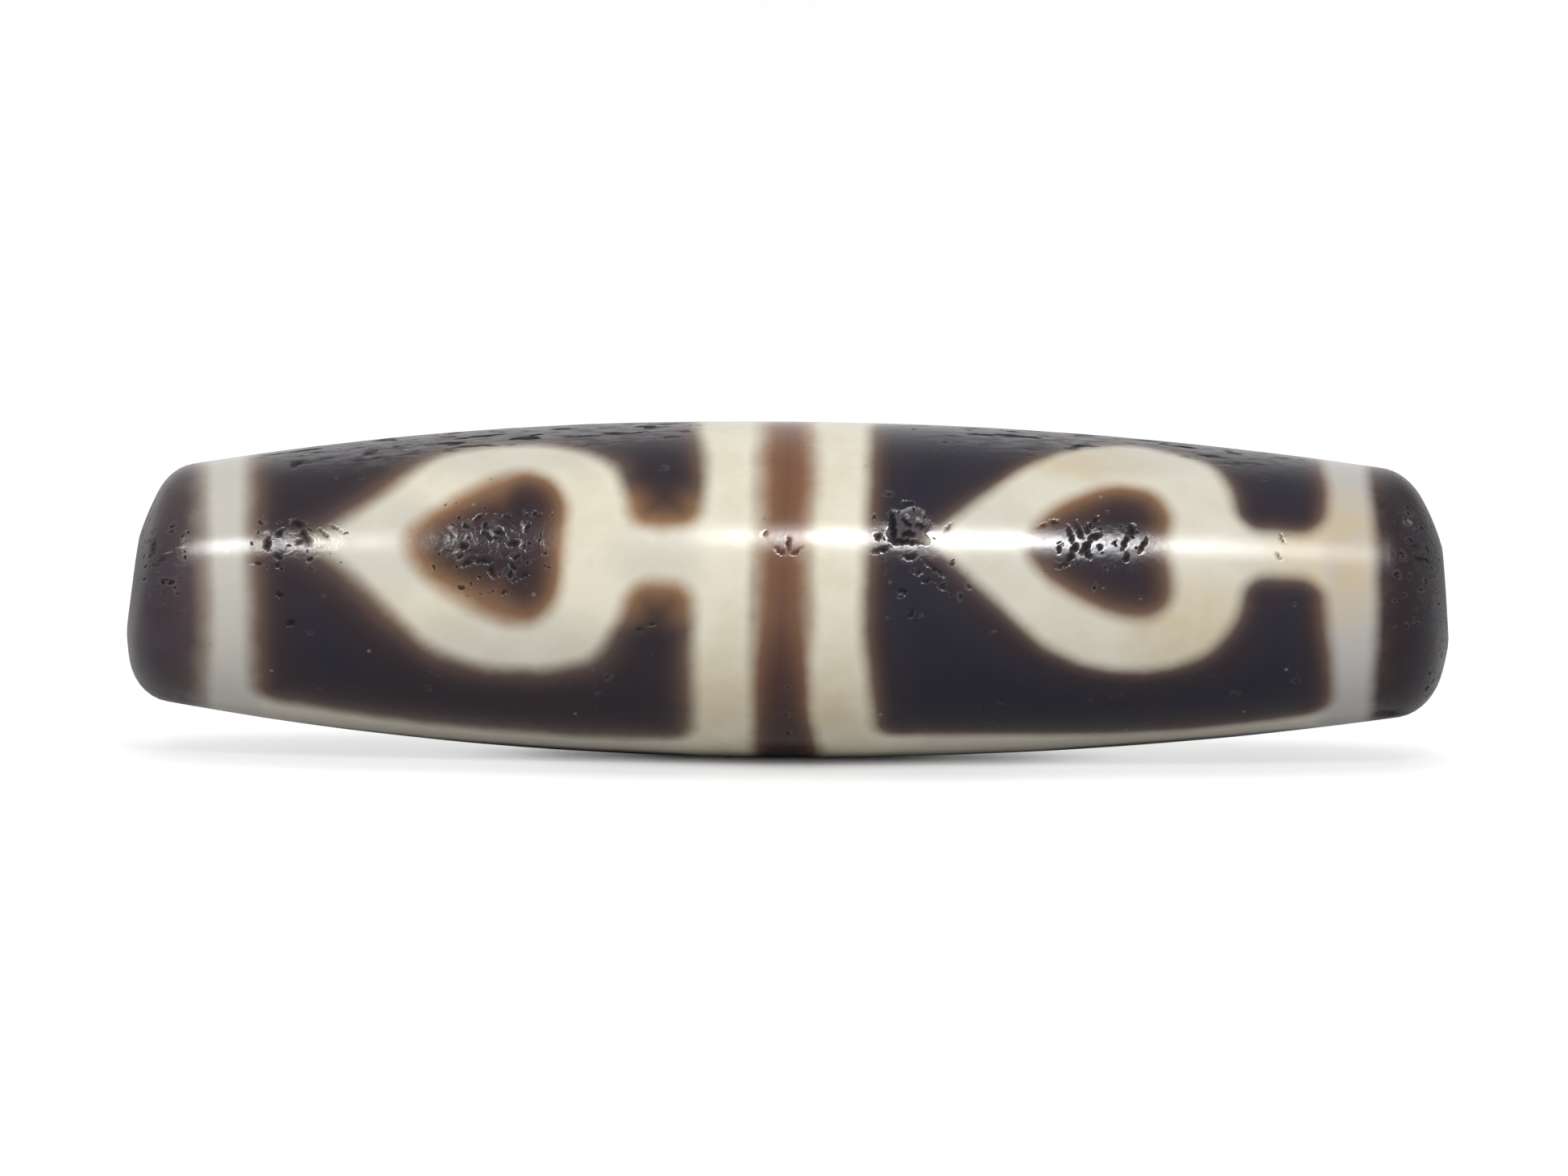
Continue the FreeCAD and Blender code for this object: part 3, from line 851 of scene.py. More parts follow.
@dataclass
class Wear:
    """What wear and weathering did to the surface: slow waves from grinding by hand, lost flakes, fields of
    nicks and weathered stretches."""

    wave_depth: float = 0.022
    waves: tuple[Ripple, ...] = (
        Ripple(1.0, 0.31, 1.0, 0.7),
        Ripple(1.0, 0.17, -2.0, 2.0),
        Ripple(0.6, 0.9, 3.0),
        Ripple(0.4, 1.7, -5.0),
    )
    ragged_along: tuple[Ripple, ...] = (Ripple(0.025, 3.0, 17.0), Ripple(0.025, -11.0, 29.0, 1.0))
    ragged_around: tuple[Ripple, ...] = (Ripple(0.025, 19.0, -2.0), Ripple(0.025, 31.0, 13.0, 2.0))
    nick_fields: tuple[Patch, ...] = (
        Patch(-18.4, 24, 2.4, 1.9, 0.4),
        Patch(-11.0, 21, 3.0, 3.0, 0.8),
        Patch(4.4, 30, 1.6, 1.6, 0.5),
        Patch(5.0, 8, 2.4, 1.9, 0.45),
        Patch(12.0, 22, 2.8, 2.6, 0.3),
        Patch(-23.5, 22, 1.2, 2.6, 0.8),
        Patch(23.7, 24, 1.2, 4.2, 1.0),
        Patch(-11.0, 205, 3.2, 3.0, 0.9),
        Patch(12.0, 196, 3.0, 2.6, 0.9),
        Patch(3.6, 214, 1.6, 2.4, 0.8),
        Patch(-17.5, 150, 3.0, 2.4, 0.7),
        Patch(17.5, -120, 2.6, 2.2, 0.7),
        Patch(-23.0, 185, 1.4, 3.0, 0.8),
        Patch(-24.4, 100, 1.2, 3.0, 0.6),
        Patch(-24.6, 250, 0.9, 3.4, 0.7),
        Patch(24.3, 150, 1.2, 3.2, 0.7),
        Patch(24.6, -60, 0.9, 3.4, 0.7),
    )
    # Weathered places. The three along the front's top, at turns 86 to 88, also paint sheen: their grey
    # lightens the top edge as the mirrored room would.
    weathered_and_sheen_places: tuple[Patch, ...] = (
        Patch(-12.0, 86, 10.5, 3.3, 1.0),
        Patch(-5.0, 88, 3.4, 2.8, 0.9),
        Patch(12.5, 86, 9.5, 3.2, 1.0),
        Patch(8.0, 160, 6.0, 2.4, 0.8),
        Patch(-14.0, 235, 5.0, 2.6, 0.8),
        Patch(14.0, 250, 5.0, 2.2, 0.7),
    )
    flakes: tuple[Flake, ...] = (
        Flake(4.5, 29.8, 0.76, 0.72, 0.05, wall=0.2),
        Flake(22.7, -66, 0.55, 0.45, 0.080),
        Flake(-13.0, 160, 0.8, 0.6, 0.050),
        Flake(15.2, 214, 0.9, 0.7, 0.050),
        Flake(-20.9, 252, 0.7, 0.9, 0.060),
    )
    mark_depth: float = 0.03
    mark_radius: float = 6.0
    dark_marks: tuple[Mark, ...] = (
        Mark(-23.9, 29, 1.3, 0.14, 85), Mark(-23.7, 19, 0.5, 0.2, 60), Mark(-19.62, 25, 0.54, 0.17, 88),
        Mark(-19.15, 30, 0.42, 0.13, 70), Mark(-18.5, 33.5, 0.64, 0.34, -30),
        Mark(-18.2, 27.5, 0.86, 0.26, -62), Mark(-18.37, 25.3, 0.32, 0.18),
        Mark(-17.5, 28.5, 0.64, 0.09, -48), Mark(-17.05, 30.5, 0.6, 0.08, -35), Mark(-19.2, 19.5, 0.22, 0.2),
        Mark(-19.2, 15.5, 0.22, 0.2), Mark(-19.95, 16.5, 0.32, 0.15), Mark(-19.15, 3, 0.32, 0.25),
        Mark(-18.6, 69, 0.6, 0.4, 20), Mark(-15.9, 73, 0.5, 0.3, -15), Mark(-18.7, -9, 0.4, 0.34),
        Mark(-12.2, 22, 0.28, 0.22, -20), Mark(-12.1, 15.7, 0.44, 0.2, 35), Mark(-11.7, 33, 0.34, 0.15, 35),
        Mark(-11.35, 26, 0.48, 0.15, -50), Mark(-11.5, 16.5, 0.84, 0.16, -8),
        Mark(-11.15, 12.5, 0.52, 0.22, -75), Mark(-10.82, 27, 0.54, 0.13, -50), Mark(-10.6, 33, 0.32, 0.13),
        Mark(-10.65, 5, 0.24, 0.15, 20), Mark(-10.35, 22.8, 0.38, 0.22, 5),
        Mark(-10.35, 14.5, 0.38, 0.2, -55), Mark(-10.3, 9.5, 0.28, 0.14), Mark(-9.93, 11, 0.38, 0.12, 30),
        Mark(-9.82, 29.3, 0.3, 0.14, 85), Mark(-9.45, 33.2, 0.32, 0.12, 10), Mark(-5.55, -7, 0.3, 0.2, 60),
        Mark(-5.1, -6, 0.2, 0.14), Mark(-0.85, 26.3, 0.15, 0.1), Mark(0.0, 22.5, 0.56, 0.07, 88),
        Mark(-0.3, 19.8, 0.44, 0.08, -28), Mark(0.33, 20, 0.44, 0.08, 30), Mark(3.35, 25.7, 0.22, 0.18),
        Mark(3.5, 20.9, 0.62, 0.12, 16), Mark(3.93, 30, 1.1, 0.2, -84), Mark(4.42, 24, 1.18, 0.15, -3),
        Mark(4.45, 31, 0.42, 0.13, -50), Mark(4.5, 27, 0.5, 0.2), Mark(4.95, 30, 0.34, 0.13),
        Mark(4.6, 18.3, 0.42, 0.12), Mark(4.9, 13, 0.32, 0.1), Mark(5.5, 14.5, 0.96, 0.12, -35),
        Mark(6.02, 29.5, 0.4, 0.08, 45), Mark(4.3, 6.5, 0.44, 0.2), Mark(5.2, 10.3, 0.32, 0.14),
        Mark(5.8, 8, 0.44, 0.12, -30), Mark(4.65, -1, 0.4, 0.2, 60), Mark(4.5, 38.5, 0.6, 0.14),
        Mark(9.62, 31.3, 0.34, 0.09, 25), Mark(10.0, 32.6, 0.42, 0.13, 5), Mark(10.22, 22.5, 0.4, 0.07, 72),
        Mark(10.3, 16.2, 0.42, 0.1, 20), Mark(10.62, 28, 0.64, 0.1, -72), Mark(10.78, 22.8, 0.3, 0.2, 60),
        Mark(10.62, 19.3, 0.44, 0.17, 70), Mark(10.95, 29.8, 0.74, 0.12, -70),
        Mark(11.2, 23.2, 0.66, 0.17, 58), Mark(11.27, 20.6, 0.44, 0.13, -60),
        Mark(11.25, 30.5, 0.3, 0.13, 80), Mark(11.55, 27.7, 0.48, 0.17, 22), Mark(11.57, 34, 0.32, 0.18, 80),
        Mark(11.74, 23, 0.2, 0.1, 80), Mark(12.68, 25.7, 0.58, 0.12, 72), Mark(12.92, 30.5, 0.5, 0.24, 78),
        Mark(12.72, 19.4, 0.3, 0.15, 85), Mark(13.35, 24.6, 0.64, 0.11, 62), Mark(18.58, 30, 0.5, 0.07, -65),
        Mark(18.47, 22.3, 0.26, 0.08, -70), Mark(23.65, 33, 0.4, 0.2, 80), Mark(23.75, 26, 0.36, 0.2),
        Mark(24.1, 27, 0.32, 0.24, 60), Mark(-11.0, 172, 0.6, 0.4, 30), Mark(9.0, 150, 0.6, 0.4, -20),
    )
    # Painted glints: pale ovals where the strip light would catch the edges of nicks, drawn into the colour
    # as pale chalky patches.
    glint_marks: tuple[Mark, ...] = (
        Mark(-22.76, 24.5, 0.3, 0.17, -70), Mark(-23.3, 24.3, 0.5, 0.08, 85), Mark(-19.65, 30.3, 0.24, 0.18),
        Mark(-19.42, 25.5, 0.34, 0.08, 85), Mark(-18.85, 25.3, 0.8, 0.12, -32),
        Mark(-18.18, 22.3, 0.6, 0.16, -18), Mark(-12.7, 29, 0.26, 0.13, 70),
        Mark(-12.15, 25.5, 0.34, 0.09, 80), Mark(-11.2, 27.6, 0.5, 0.07, -45),
        Mark(-10.03, 29.5, 0.4, 0.07, -80), Mark(-10.05, 22.5, 0.36, 0.08, 85), Mark(-0.35, 24.3, 0.3, 0.14),
        Mark(4.0, 35.4, 0.32, 0.07, 10), Mark(4.45, 33.8, 0.5, 0.05, -45), Mark(4.9, 32.3, 0.5, 0.05, -38),
        Mark(4.4, 21.4, 1.2, 0.16), Mark(10.9, 20, 0.26, 0.16, -60), Mark(11.5, 30.1, 0.34, 0.07, 10),
        Mark(18.76, 31.5, 0.22, 0.17), Mark(23.3, 45, 0.5, 0.07, 85),
    )

    def marked(self, marks: tuple[Mark, ...], x: Array, turn: Array) -> Array:
        """Draws marks. The points are swayed a little by sine waves, which makes the marks ragged.

        Args:
            marks: what to draw.
            x, turn: the points.

        Returns:
            1 in each mark and 0 elsewhere.
        """
        around = np.radians(turn) * self.mark_radius
        swayed_x = x + rippled(self.ragged_along, x, around)
        swayed_around = around + rippled(self.ragged_around, x, around)
        return np.maximum.reduce([mark.cover(swayed_x, swayed_around, self.mark_radius) for mark in marks])

    def chipped(self, x: Array, turn: Array, radius: Array) -> Array:
        """1 where a flake is lost and 0 elsewhere."""
        return np.maximum.reduce([flake.cover(x, turn, radius) for flake in self.flakes])

    def sink(self, x: Array, turn: Array, radius: Array) -> Array:
        """How far the surface lies inside the clean stone: a sum of slow sine waves over its own greatest
        height, raised so that it is never negative, the lost flakes and the marks.

        Args:
            x, turn: the points.
            radius: the stone's radius at each point.

        Returns:
            Depths in millimetres.
        """
        greatest = sum(wave.height for wave in self.waves)
        waves = 0.5 + rippled(self.waves, x, np.radians(turn)) / (2.0 * greatest)
        flakes = np.maximum.reduce([flake.depth * flake.cover(x, turn, radius) for flake in self.flakes])
        return self.wave_depth * waves + flakes + self.mark_depth * self.marked(self.dark_marks, x, turn)


def linear_of(seen: Rgb) -> Array:
    """Linear value of a colour that is given as it shows on a screen, by the sRGB formula."""
    share = np.asarray(seen, float) / SCREEN_STEPS
    return np.where(share <= 0.04045, share / 12.92, ((share + 0.055) / 1.055) ** 2.4)


@dataclass(frozen=True)
class Polish:
    """The polished skin of the stone. Part of what is seen on it is the white room that it mirrors."""

    index: float = 1.54
    roughness: float = 0.16
    mirrored: float = 0.028
    shade: float = 0.84
    darkest: float = 0.0005
    palest: float = 0.95

    def under(self, seen: Rgb) -> tuple[float, float, float, float]:
        """The stone under the polish: what is seen, less what is mirrored, over the light that gets in."""
        colour = np.clip((linear_of(seen) - self.mirrored) / self.shade, self.darkest, self.palest)
        return (*(float(channel) for channel in colour), 1.0)


class Attribute(Enum):
    """What the mesh tells its material at each point."""

    DYE_DEPTH = "dye_depth"
    THINNESS = "dye_thinness"
    RUST = "dye_rust"
    WARMTH = "tea_stain"
    ASHEN = "ashen"
    NICKED = "nicked"
    WEATHERED_AND_SHEEN = "weathered"
    CHIPPED = "chipped"
    MARKED = "marked"
    CRUSH_AND_GLINT = "crush_and_glint"
    DULLED = "dulled"
    BORE = "bore_dust"


WEAR_ATTRIBUTES = (
    Attribute.NICKED,
    Attribute.MARKED,
    Attribute.CRUSH_AND_GLINT,
    Attribute.CHIPPED,
    Attribute.DULLED,
    Attribute.BORE,
)


@dataclass(frozen=True)
class Grain:
    """A soft noise: its features to a millimetre, how many times finer ones are laid over it, and how
    strongly."""

    scale: float
    detail: float = 2.0
    rough: float = 0.5


@dataclass(frozen=True)
class Mottle:
    """A soft noise that is run through a ramp."""

    grain: Grain
    ramp: Ramp


class Wiring:
    """A short way to write a material's nodes: each method adds nodes and gives the output to use next."""

    def __init__(self, tree: bpy.types.NodeTree) -> None:
        """Starts on an empty tree."""
        self.tree = tree
        tree.nodes.clear()

    def add(
        self, kind: str, inputs: dict[str | int, object] | None = None, **settings: object
    ) -> bpy.types.Node:
        """Adds a node.

        Args:
            kind: Blender's name of the node's type.
            inputs: what goes into its sockets, by name or number: a value, or another node's output.
            settings: the node's own settings.

        Returns:
            The node.
        """
        node = self.tree.nodes.new(kind)
        for name, value in settings.items():
            setattr(node, name, value)
        for socket, value in (inputs or {}).items():
            if isinstance(value, Socket):
                self.tree.links.new(value, node.inputs[socket])
            else:
                node.inputs[socket].default_value = value
        return node

    def attribute(self, name: Attribute) -> Socket:
        """The value of a mesh attribute."""
        return self.add("ShaderNodeAttribute", attribute_name=name.value).outputs["Fac"]

    def math(self, operation: str, *values: object, clamp: bool = False) -> Socket:
        """A sum of one, two or three values."""
        inputs = dict(enumerate(values))
        return self.add("ShaderNodeMath", inputs, operation=operation, use_clamp=clamp).outputs[0]

    def vector_math(self, operation: str, *values: object, output: str = "Vector") -> Socket:
        """A sum of one or two vectors."""
        inputs = dict(enumerate(values))
        return self.add("ShaderNodeVectorMath", inputs, operation=operation).outputs[output]

    def scaled(self, vector: Socket, factor: float) -> Socket:
        """A vector made longer or shorter."""
        inputs = {0: vector, "Scale": factor}
        return self.add("ShaderNodeVectorMath", inputs, operation="SCALE").outputs["Vector"]

    def step(self, value: object, ramp: Ramp) -> Socket:
        """Runs a value through a ramp.

        Args:
            value: the value, or another node's output.
            ramp: the ramp.

        Returns:
            The ramp's value there.
        """
        inputs = {"Value": value, "From Min": ramp.start, "From Max": ramp.end}
        inputs.update({"To Min": ramp.before, "To Max": ramp.after})
        return self.add("ShaderNodeMapRange", inputs, interpolation_type="SMOOTHSTEP").outputs["Result"]

    def mix(self, share: object, first: object, second: object) -> Socket:
        """Two colours mixed: first where share is 0 and second where it is 1."""
        return self.add("ShaderNodeMix", {0: share, 6: first, 7: second}, data_type="RGBA").outputs[2]

    def noise(self, place: Socket, grain: Grain, output: str = "Fac") -> Socket:
        """Soft noise from 0 to 1, as one value or as a colour."""
        inputs = {"Vector": place, "Scale": grain.scale, "Detail": grain.detail, "Roughness": grain.rough}
        return self.add("ShaderNodeTexNoise", inputs).outputs[output]

    def cells(self, place: Socket, scale: float) -> bpy.types.NodeOutputs:
        """Random cells on the unrolled stone: outputs of the node, by name."""
        inputs = {"Vector": place, "Scale": scale}
        return self.add("ShaderNodeTexVoronoi", inputs, voronoi_dimensions="2D").outputs

    def mottle(self, place: Socket, mottle: Mottle) -> Socket:
        """Soft noise, run through its ramp."""
        return self.step(self.noise(place, mottle.grain), mottle.ramp)

    def ramp(self, value: object, stops: tuple[tuple[float, tuple], ...]) -> Socket:
        """A run of colours.

        Args:
            value: the value to look up, or another node's output.
            stops: colours, each with the value that it stands at, from the lowest to the highest.

        Returns:
            The colour there.
        """
        low, high = stops[0][0], stops[-1][0]
        inputs = {"Value": value, "From Min": low, "From Max": high}
        share = self.add("ShaderNodeMapRange", inputs).outputs["Result"]
        node = self.add("ShaderNodeValToRGB", {"Fac": share})
        elements = node.color_ramp.elements
        while len(elements) < len(stops):
            elements.new(1.0)
        for element, (place, colour) in zip(elements, stops):
            element.position = (place - low) / (high - low)
            element.color = colour
        return node.outputs["Color"]


@dataclass(frozen=True)
class NickShape:
    """A crescent nick. Its sizes are shares of the cell that holds it: the ring that it lies on is larger in
    some cells, and it is widest on one side and runs out round the ring."""

    least_radius: float = 0.1
    more_radius: float = 0.16
    width: float = 0.2
    round_ring: Ramp = Ramp(0.1, 0.95)
    wall: Ramp = Ramp(-0.06, 0.08)
    rim: Ramp = Ramp(-0.2, -0.04)
    kept: Ramp = Ramp(0.0, 0.08)


@dataclass(frozen=True)
class AgateFinish:
    """Polished agate, dyed in two steps: bleached white figures, and a dark ground whose edge is amber where
    the dye is thin and grey-brown where it is deep. Colours are given as they show on the bead in white
    light, and lengths in millimetres."""

    polish: Polish = Polish()
    clear_white: Rgb = (230, 224, 205)
    cloudy_white: Rgb = (222, 215, 193)
    warm_white: Rgb = (204, 184, 146)
    ashen_white: Rgb = (190, 188, 185)
    bore_dust: Rgb = (146, 128, 112)
    # Dark fill of nicks, marks and gashes, partly dirt and partly painted shade in these hollows; also mixed
    # into the dust in the bore.
    grime_and_shade: Rgb = (42, 37, 38)
    # Pale chalky stone at nick rims and specks, which is also the colour of the painted glints.
    crush_and_glint: Rgb = (150, 145, 142)
    # Grey of weathered dye, which along the front's top edge also stands in for the sheen of the mirrored
    # room.
    weathered_grey_and_sheen: Rgb = (118, 114, 116)
    # Dye of the left and right ends. The left one's lighter tone is partly the stone's own and partly
    # painted light falling from the left.
    cap_dyes_left_lit: tuple[Rgb, Rgb] = ((75, 67, 74), (54, 45, 50))
    rust: Rgb = (126, 84, 66)
    thin_dye: DyeStops = (
        (0.0, (158, 122, 90)), (0.2, (148, 114, 84)), (0.38, (132, 102, 78)), (0.68, (107, 83, 69)),
        (0.98, (88, 68, 60)), (1.28, (73, 58, 56)), (1.9, (60, 50, 54)), (3.0, (52, 46, 53)),
    )
    deep_dye: DyeStops = (
        (0.0, (104, 88, 80)), (0.35, (88, 75, 72)), (0.5, (78, 66, 66)), (0.65, (69, 59, 61)),
        (0.8, (63, 55, 58)), (1.1, (57, 51, 55)), (1.5, (54, 50, 57)), (2.3, (50, 48, 58)),
        (3.2, (45, 44, 54)),
    )

    edge_wander: tuple[tuple[Grain, float], ...] = ((Grain(0.7), 0.22), (Grain(3.0, 3.0, 0.6), 0.06))
    edge: Ramp = Ramp(-0.45, 0.35)
    clouds: Mottle = Mottle(Grain(0.55, 4.0, 0.6), Ramp(0.35, 0.7))
    stains: Mottle = Mottle(Grain(0.9, 3.0), Ramp(0.25, 0.7, before=0.5, after=1.1))
    rust_share: float = 0.55
    cap_change: Ramp = Ramp(-10.0, 10.0)
    cap_cover: Mottle = Mottle(Grain(1.1, 4.0, 0.6), Ramp(0.3, 0.7, before=0.4, after=0.9))
    weathering: Mottle = Mottle(Grain(0.3), Ramp(0.35, 0.6, before=0.65, after=1.15))
    streak_stretch: tuple[float, float, float] = (0.8, 2.6, 0.0)
    streaks: Grain = Grain(1.4, 4.0, 0.65)
    grey_streaks: Ramp = Ramp(0.38, 0.62, after=0.9)
    gashes: Mottle = Mottle(Grain(0.85), Ramp(0.57, 0.64))
    sway: Grain = Grain(2.6)
    sway_reach: float = 0.42
    nick_shape: NickShape = NickShape()
    nick_cells: tuple[float, ...] = (0.95, 0.52)
    nick_share: float = 0.9
    stray_share: float = 0.01
    stray_share_in_dye: float = 0.05
    chalky_rim_and_glint_share: float = 0.12
    speck_scale: float = 0.17
    speck: Ramp = Ramp(0.006, 0.018, before=0.45, after=0.0)
    grime_and_shade_share: float = 0.85
    dust: Grain = Grain(2.4, 4.0)
    worn: Mottle = Mottle(Grain(1.6, 5.0, 0.65), Ramp(0.45, 0.75, after=0.07))
    nick_rough: float = 0.8
    dulled_rough: float = 0.1
    chipped_rough: float = 0.35
    weathered_rough: float = 0.12
    bore_rough: float = 0.5
    field_grain: Grain = Grain(1.9)
    field_relief: float = 1.4
    chipped_relief: float = 1.3
    weathered_relief: float = 1.2
    skin_relief: tuple[tuple[Grain, float], ...] = ((Grain(9.0, 3.0, 0.6), 0.035), (Grain(1.1), 0.14))
    relief_depth: float = 0.03

    def dye_colour(self, wiring: Wiring, depth: object, stops: DyeStops) -> Socket:
        """The dye's colour at each depth in millimetres."""
        return wiring.ramp(depth, tuple((place, self.polish.under(seen)) for place, seen in stops))

    def wandering_depth(self, wiring: Wiring, place: Socket) -> Socket:
        """How deep the dye is, with an edge that wanders by soft noise.

        Args:
            wiring: the material's nodes.
            place: place on the bead, in millimetres.

        Returns:
            Distance into the dye, negative on the white figures.
        """
        depth = wiring.attribute(Attribute.DYE_DEPTH)
        for grain, reach in self.edge_wander:
            shift = wiring.math("MULTIPLY_ADD", wiring.noise(place, grain), reach, -reach / 2)
            depth = wiring.math("ADD", depth, shift)
        return depth

    def white(self, wiring: Wiring, place: Socket) -> Socket:
        """The white figures: faint cloudy mottling, tea-coloured stains and greyer ends.

        Args:
            wiring: the material's nodes.
            place: place on the bead, in millimetres.

        Returns:
            Their colour.
        """
        clear, cloudy = self.polish.under(self.clear_white), self.polish.under(self.cloudy_white)
        colour = wiring.mix(wiring.mottle(place, self.clouds), clear, cloudy)
        colour = wiring.mix(wiring.attribute(Attribute.ASHEN), colour, self.polish.under(self.ashen_white))
        stains = wiring.mottle(place, self.stains)
        stain = wiring.math("MULTIPLY", wiring.attribute(Attribute.WARMTH), stains, clamp=True)
        return wiring.mix(stain, colour, self.polish.under(self.warm_white))

    def dye(self, wiring: Wiring, place: Socket, depth: Socket) -> Socket:
        """The dark ground: the deep and the thin dye, rusty in the middle band and duller at the two ends,
        the left end lighter partly as painted light from the left.

        Args:
            wiring: the material's nodes.
            place: place on the bead, in millimetres.
            depth: distance into the dye.

        Returns:
            Its colour.
        """
        deep, thin = (self.dye_colour(wiring, depth, stops) for stops in (self.deep_dye, self.thin_dye))
        colour = wiring.mix(wiring.attribute(Attribute.THINNESS), deep, thin)
        rust = wiring.math("MULTIPLY", wiring.attribute(Attribute.RUST), self.rust_share)
        colour = wiring.mix(rust, colour, self.polish.under(self.rust))
        station = wiring.add("ShaderNodeSeparateXYZ", {0: place}).outputs["X"]
        # The left end's lighter dye is partly painted light from the left.
        left_cap, right_cap = (self.polish.under(seen) for seen in self.cap_dyes_left_lit)
        cap = wiring.mix(wiring.step(station, self.cap_change), left_cap, right_cap)
        uneven = wiring.mottle(place, self.cap_cover)
        return wiring.mix(wiring.math("MULTIPLY", wiring.attribute(Attribute.DULLED), uneven), colour, cap)

    def crumpled(self, wiring: Wiring, flat: Socket) -> Socket:
        """Place on the unrolled stone, swayed by noise, which makes what is drawn on it ragged."""
        sway = wiring.vector_math("SUBTRACT", wiring.noise(flat, self.sway, "Color"), MIDDLE_GREY)
        return wiring.vector_math("ADD", flat, wiring.scaled(sway, self.sway_reach))

    def nicks(self, wiring: Wiring, flat: Socket, size: float, share: object) -> tuple[Socket, Socket]:
        """Crescent nicks: round the middle of each of many random cells, an arc of a ring that is widest on
        the side that the cell's random colour points to. A cell is left out unless its random number is
        under share.

        Args:
            wiring: the material's nodes.
            flat: place on the unrolled stone, in millimetres.
            size: a cell's size in millimetres.
            share: share of the cells that hold a nick.

        Returns:
            1 in a nick and 0 elsewhere, and 1 on the rim beside it, which is painted pale partly as chalky
            stone and partly as a painted glint, and 0 elsewhere.
        """
        shape = self.nick_shape
        cells = wiring.cells(flat, 1.0 / size)
        centre = cells["Position"]
        drawn = wiring.add("ShaderNodeTexWhiteNoise", {"Vector": centre}, noise_dimensions="3D")
        chance = drawn.outputs["Value"]
        offset = wiring.vector_math("SUBTRACT", flat, centre)
        away = wiring.vector_math("LENGTH", offset, output="Value")
        ring = wiring.math("MULTIPLY_ADD", chance, shape.more_radius * size, shape.least_radius * size)
        off_ring = wiring.math("ABSOLUTE", wiring.math("SUBTRACT", away, ring))
        pointing = wiring.vector_math("SUBTRACT", cells["Color"], MIDDLE_GREY)
        pointing = wiring.vector_math("NORMALIZE", wiring.vector_math("MULTIPLY", pointing, FLATTENED))
        outward = wiring.vector_math("NORMALIZE", offset)
        side = wiring.vector_math("DOT_PRODUCT", outward, pointing, output="Value")
        width = shape.width * size
        half_width = wiring.math("MULTIPLY_ADD", wiring.step(side, shape.round_ring), width, -width / 2)
        level = wiring.math("SUBTRACT", half_width, off_ring)
        kept = wiring.step(wiring.math("SUBTRACT", share, chance), shape.kept)
        edges = (edge.scaled(size) for edge in (shape.wall, shape.rim))
        nick, rim = (wiring.math("MULTIPLY", wiring.step(level, edge), kept) for edge in edges)
        return nick, wiring.math("SUBTRACT", rim, nick, clamp=True)

    def all_nicks(
        self, wiring: Wiring, flat: Socket, gouged: Socket, nicked: Socket, dyed: Socket
    ) -> tuple[Socket, Socket]:
        """Adds nicks of every size to what is gouged already: many in the nicked fields and a few stray ones
        elsewhere, more of them in the dye.

        Args:
            wiring: the material's nodes.
            flat: place on the unrolled stone, in millimetres.
            gouged: 1 where the stone is gouged already and 0 elsewhere.
            nicked: how thickly the nicks stand, from 0 to 1.
            dyed: 1 in the dye and 0 on the white figures.

        Returns:
            1 in a nick and 0 elsewhere, and how pale the rims in the dye are, partly chalky stone and partly
            painted glints.
        """
        stray = wiring.math("MULTIPLY_ADD", dyed, self.stray_share_in_dye, self.stray_share)
        share = wiring.math("MULTIPLY_ADD", nicked, self.nick_share, stray)
        nick, rim = gouged, 0.0
        for size in self.nick_cells:
            more_nick, more_rim = self.nicks(wiring, flat, size, share)
            nick, rim = wiring.math("MAXIMUM", nick, more_nick), wiring.math("MAXIMUM", rim, more_rim)
        return nick, wiring.math("MULTIPLY", rim, wiring.math("MULTIPLY", dyed, self.chalky_rim_and_glint_share))

    def bump(self, wiring: Wiring, place: Socket, crumbled: Socket, etching: Socket, nick: Socket) -> Socket:
        """Relief that is too fine for the mesh.

        Args:
            wiring: the material's nodes.
            place: place on the bead, in millimetres.
            crumbled: height of the crumbled stone in flakes and fields of nicks.
            etching: height of the streaks where the stone is weathered.
            nick: 1 in a nick and 0 elsewhere.

        Returns:
            The bumped normal.
        """
        sunk = wiring.math("MULTIPLY", nick, -1.0)
        height = wiring.math("MULTIPLY_ADD", crumbled, self.field_relief, sunk)
        height = wiring.math("MULTIPLY_ADD", etching, self.weathered_relief, height)
        for grain, share in self.skin_relief:
            height = wiring.math("MULTIPLY_ADD", wiring.noise(place, grain), share, height)
        inputs = {"Strength": 1.0, "Distance": self.relief_depth * MM, "Height": height}
        return wiring.add("ShaderNodeBump", inputs).outputs["Normal"]

    def build(self, name: str) -> bpy.types.Material:
        """Makes the material.

        Args:
            name: the material's name.

        Returns:
            The material, on Principled BSDF.
        """
        material = bpy.data.materials.new(name)
        material.use_nodes = True
        wiring = Wiring(material.node_tree)
        place = wiring.scaled(wiring.add("ShaderNodeTexCoord").outputs["Object"], MM_PER_METRE)
        flat = wiring.add("ShaderNodeUVMap", uv_map=UNROLLED_MAP).outputs["UV"]
        crumpled = self.crumpled(wiring, flat)
        nicked, marked, crush_and_glint, chipped, dulled, bore = (wiring.attribute(kind) for kind in WEAR_ATTRIBUTES)

        # The dye and the white figures
        depth = self.wandering_depth(wiring, place)
        dyed = wiring.step(depth, self.edge)
        colour = wiring.mix(dyed, self.white(wiring, place), self.dye(wiring, place, depth))

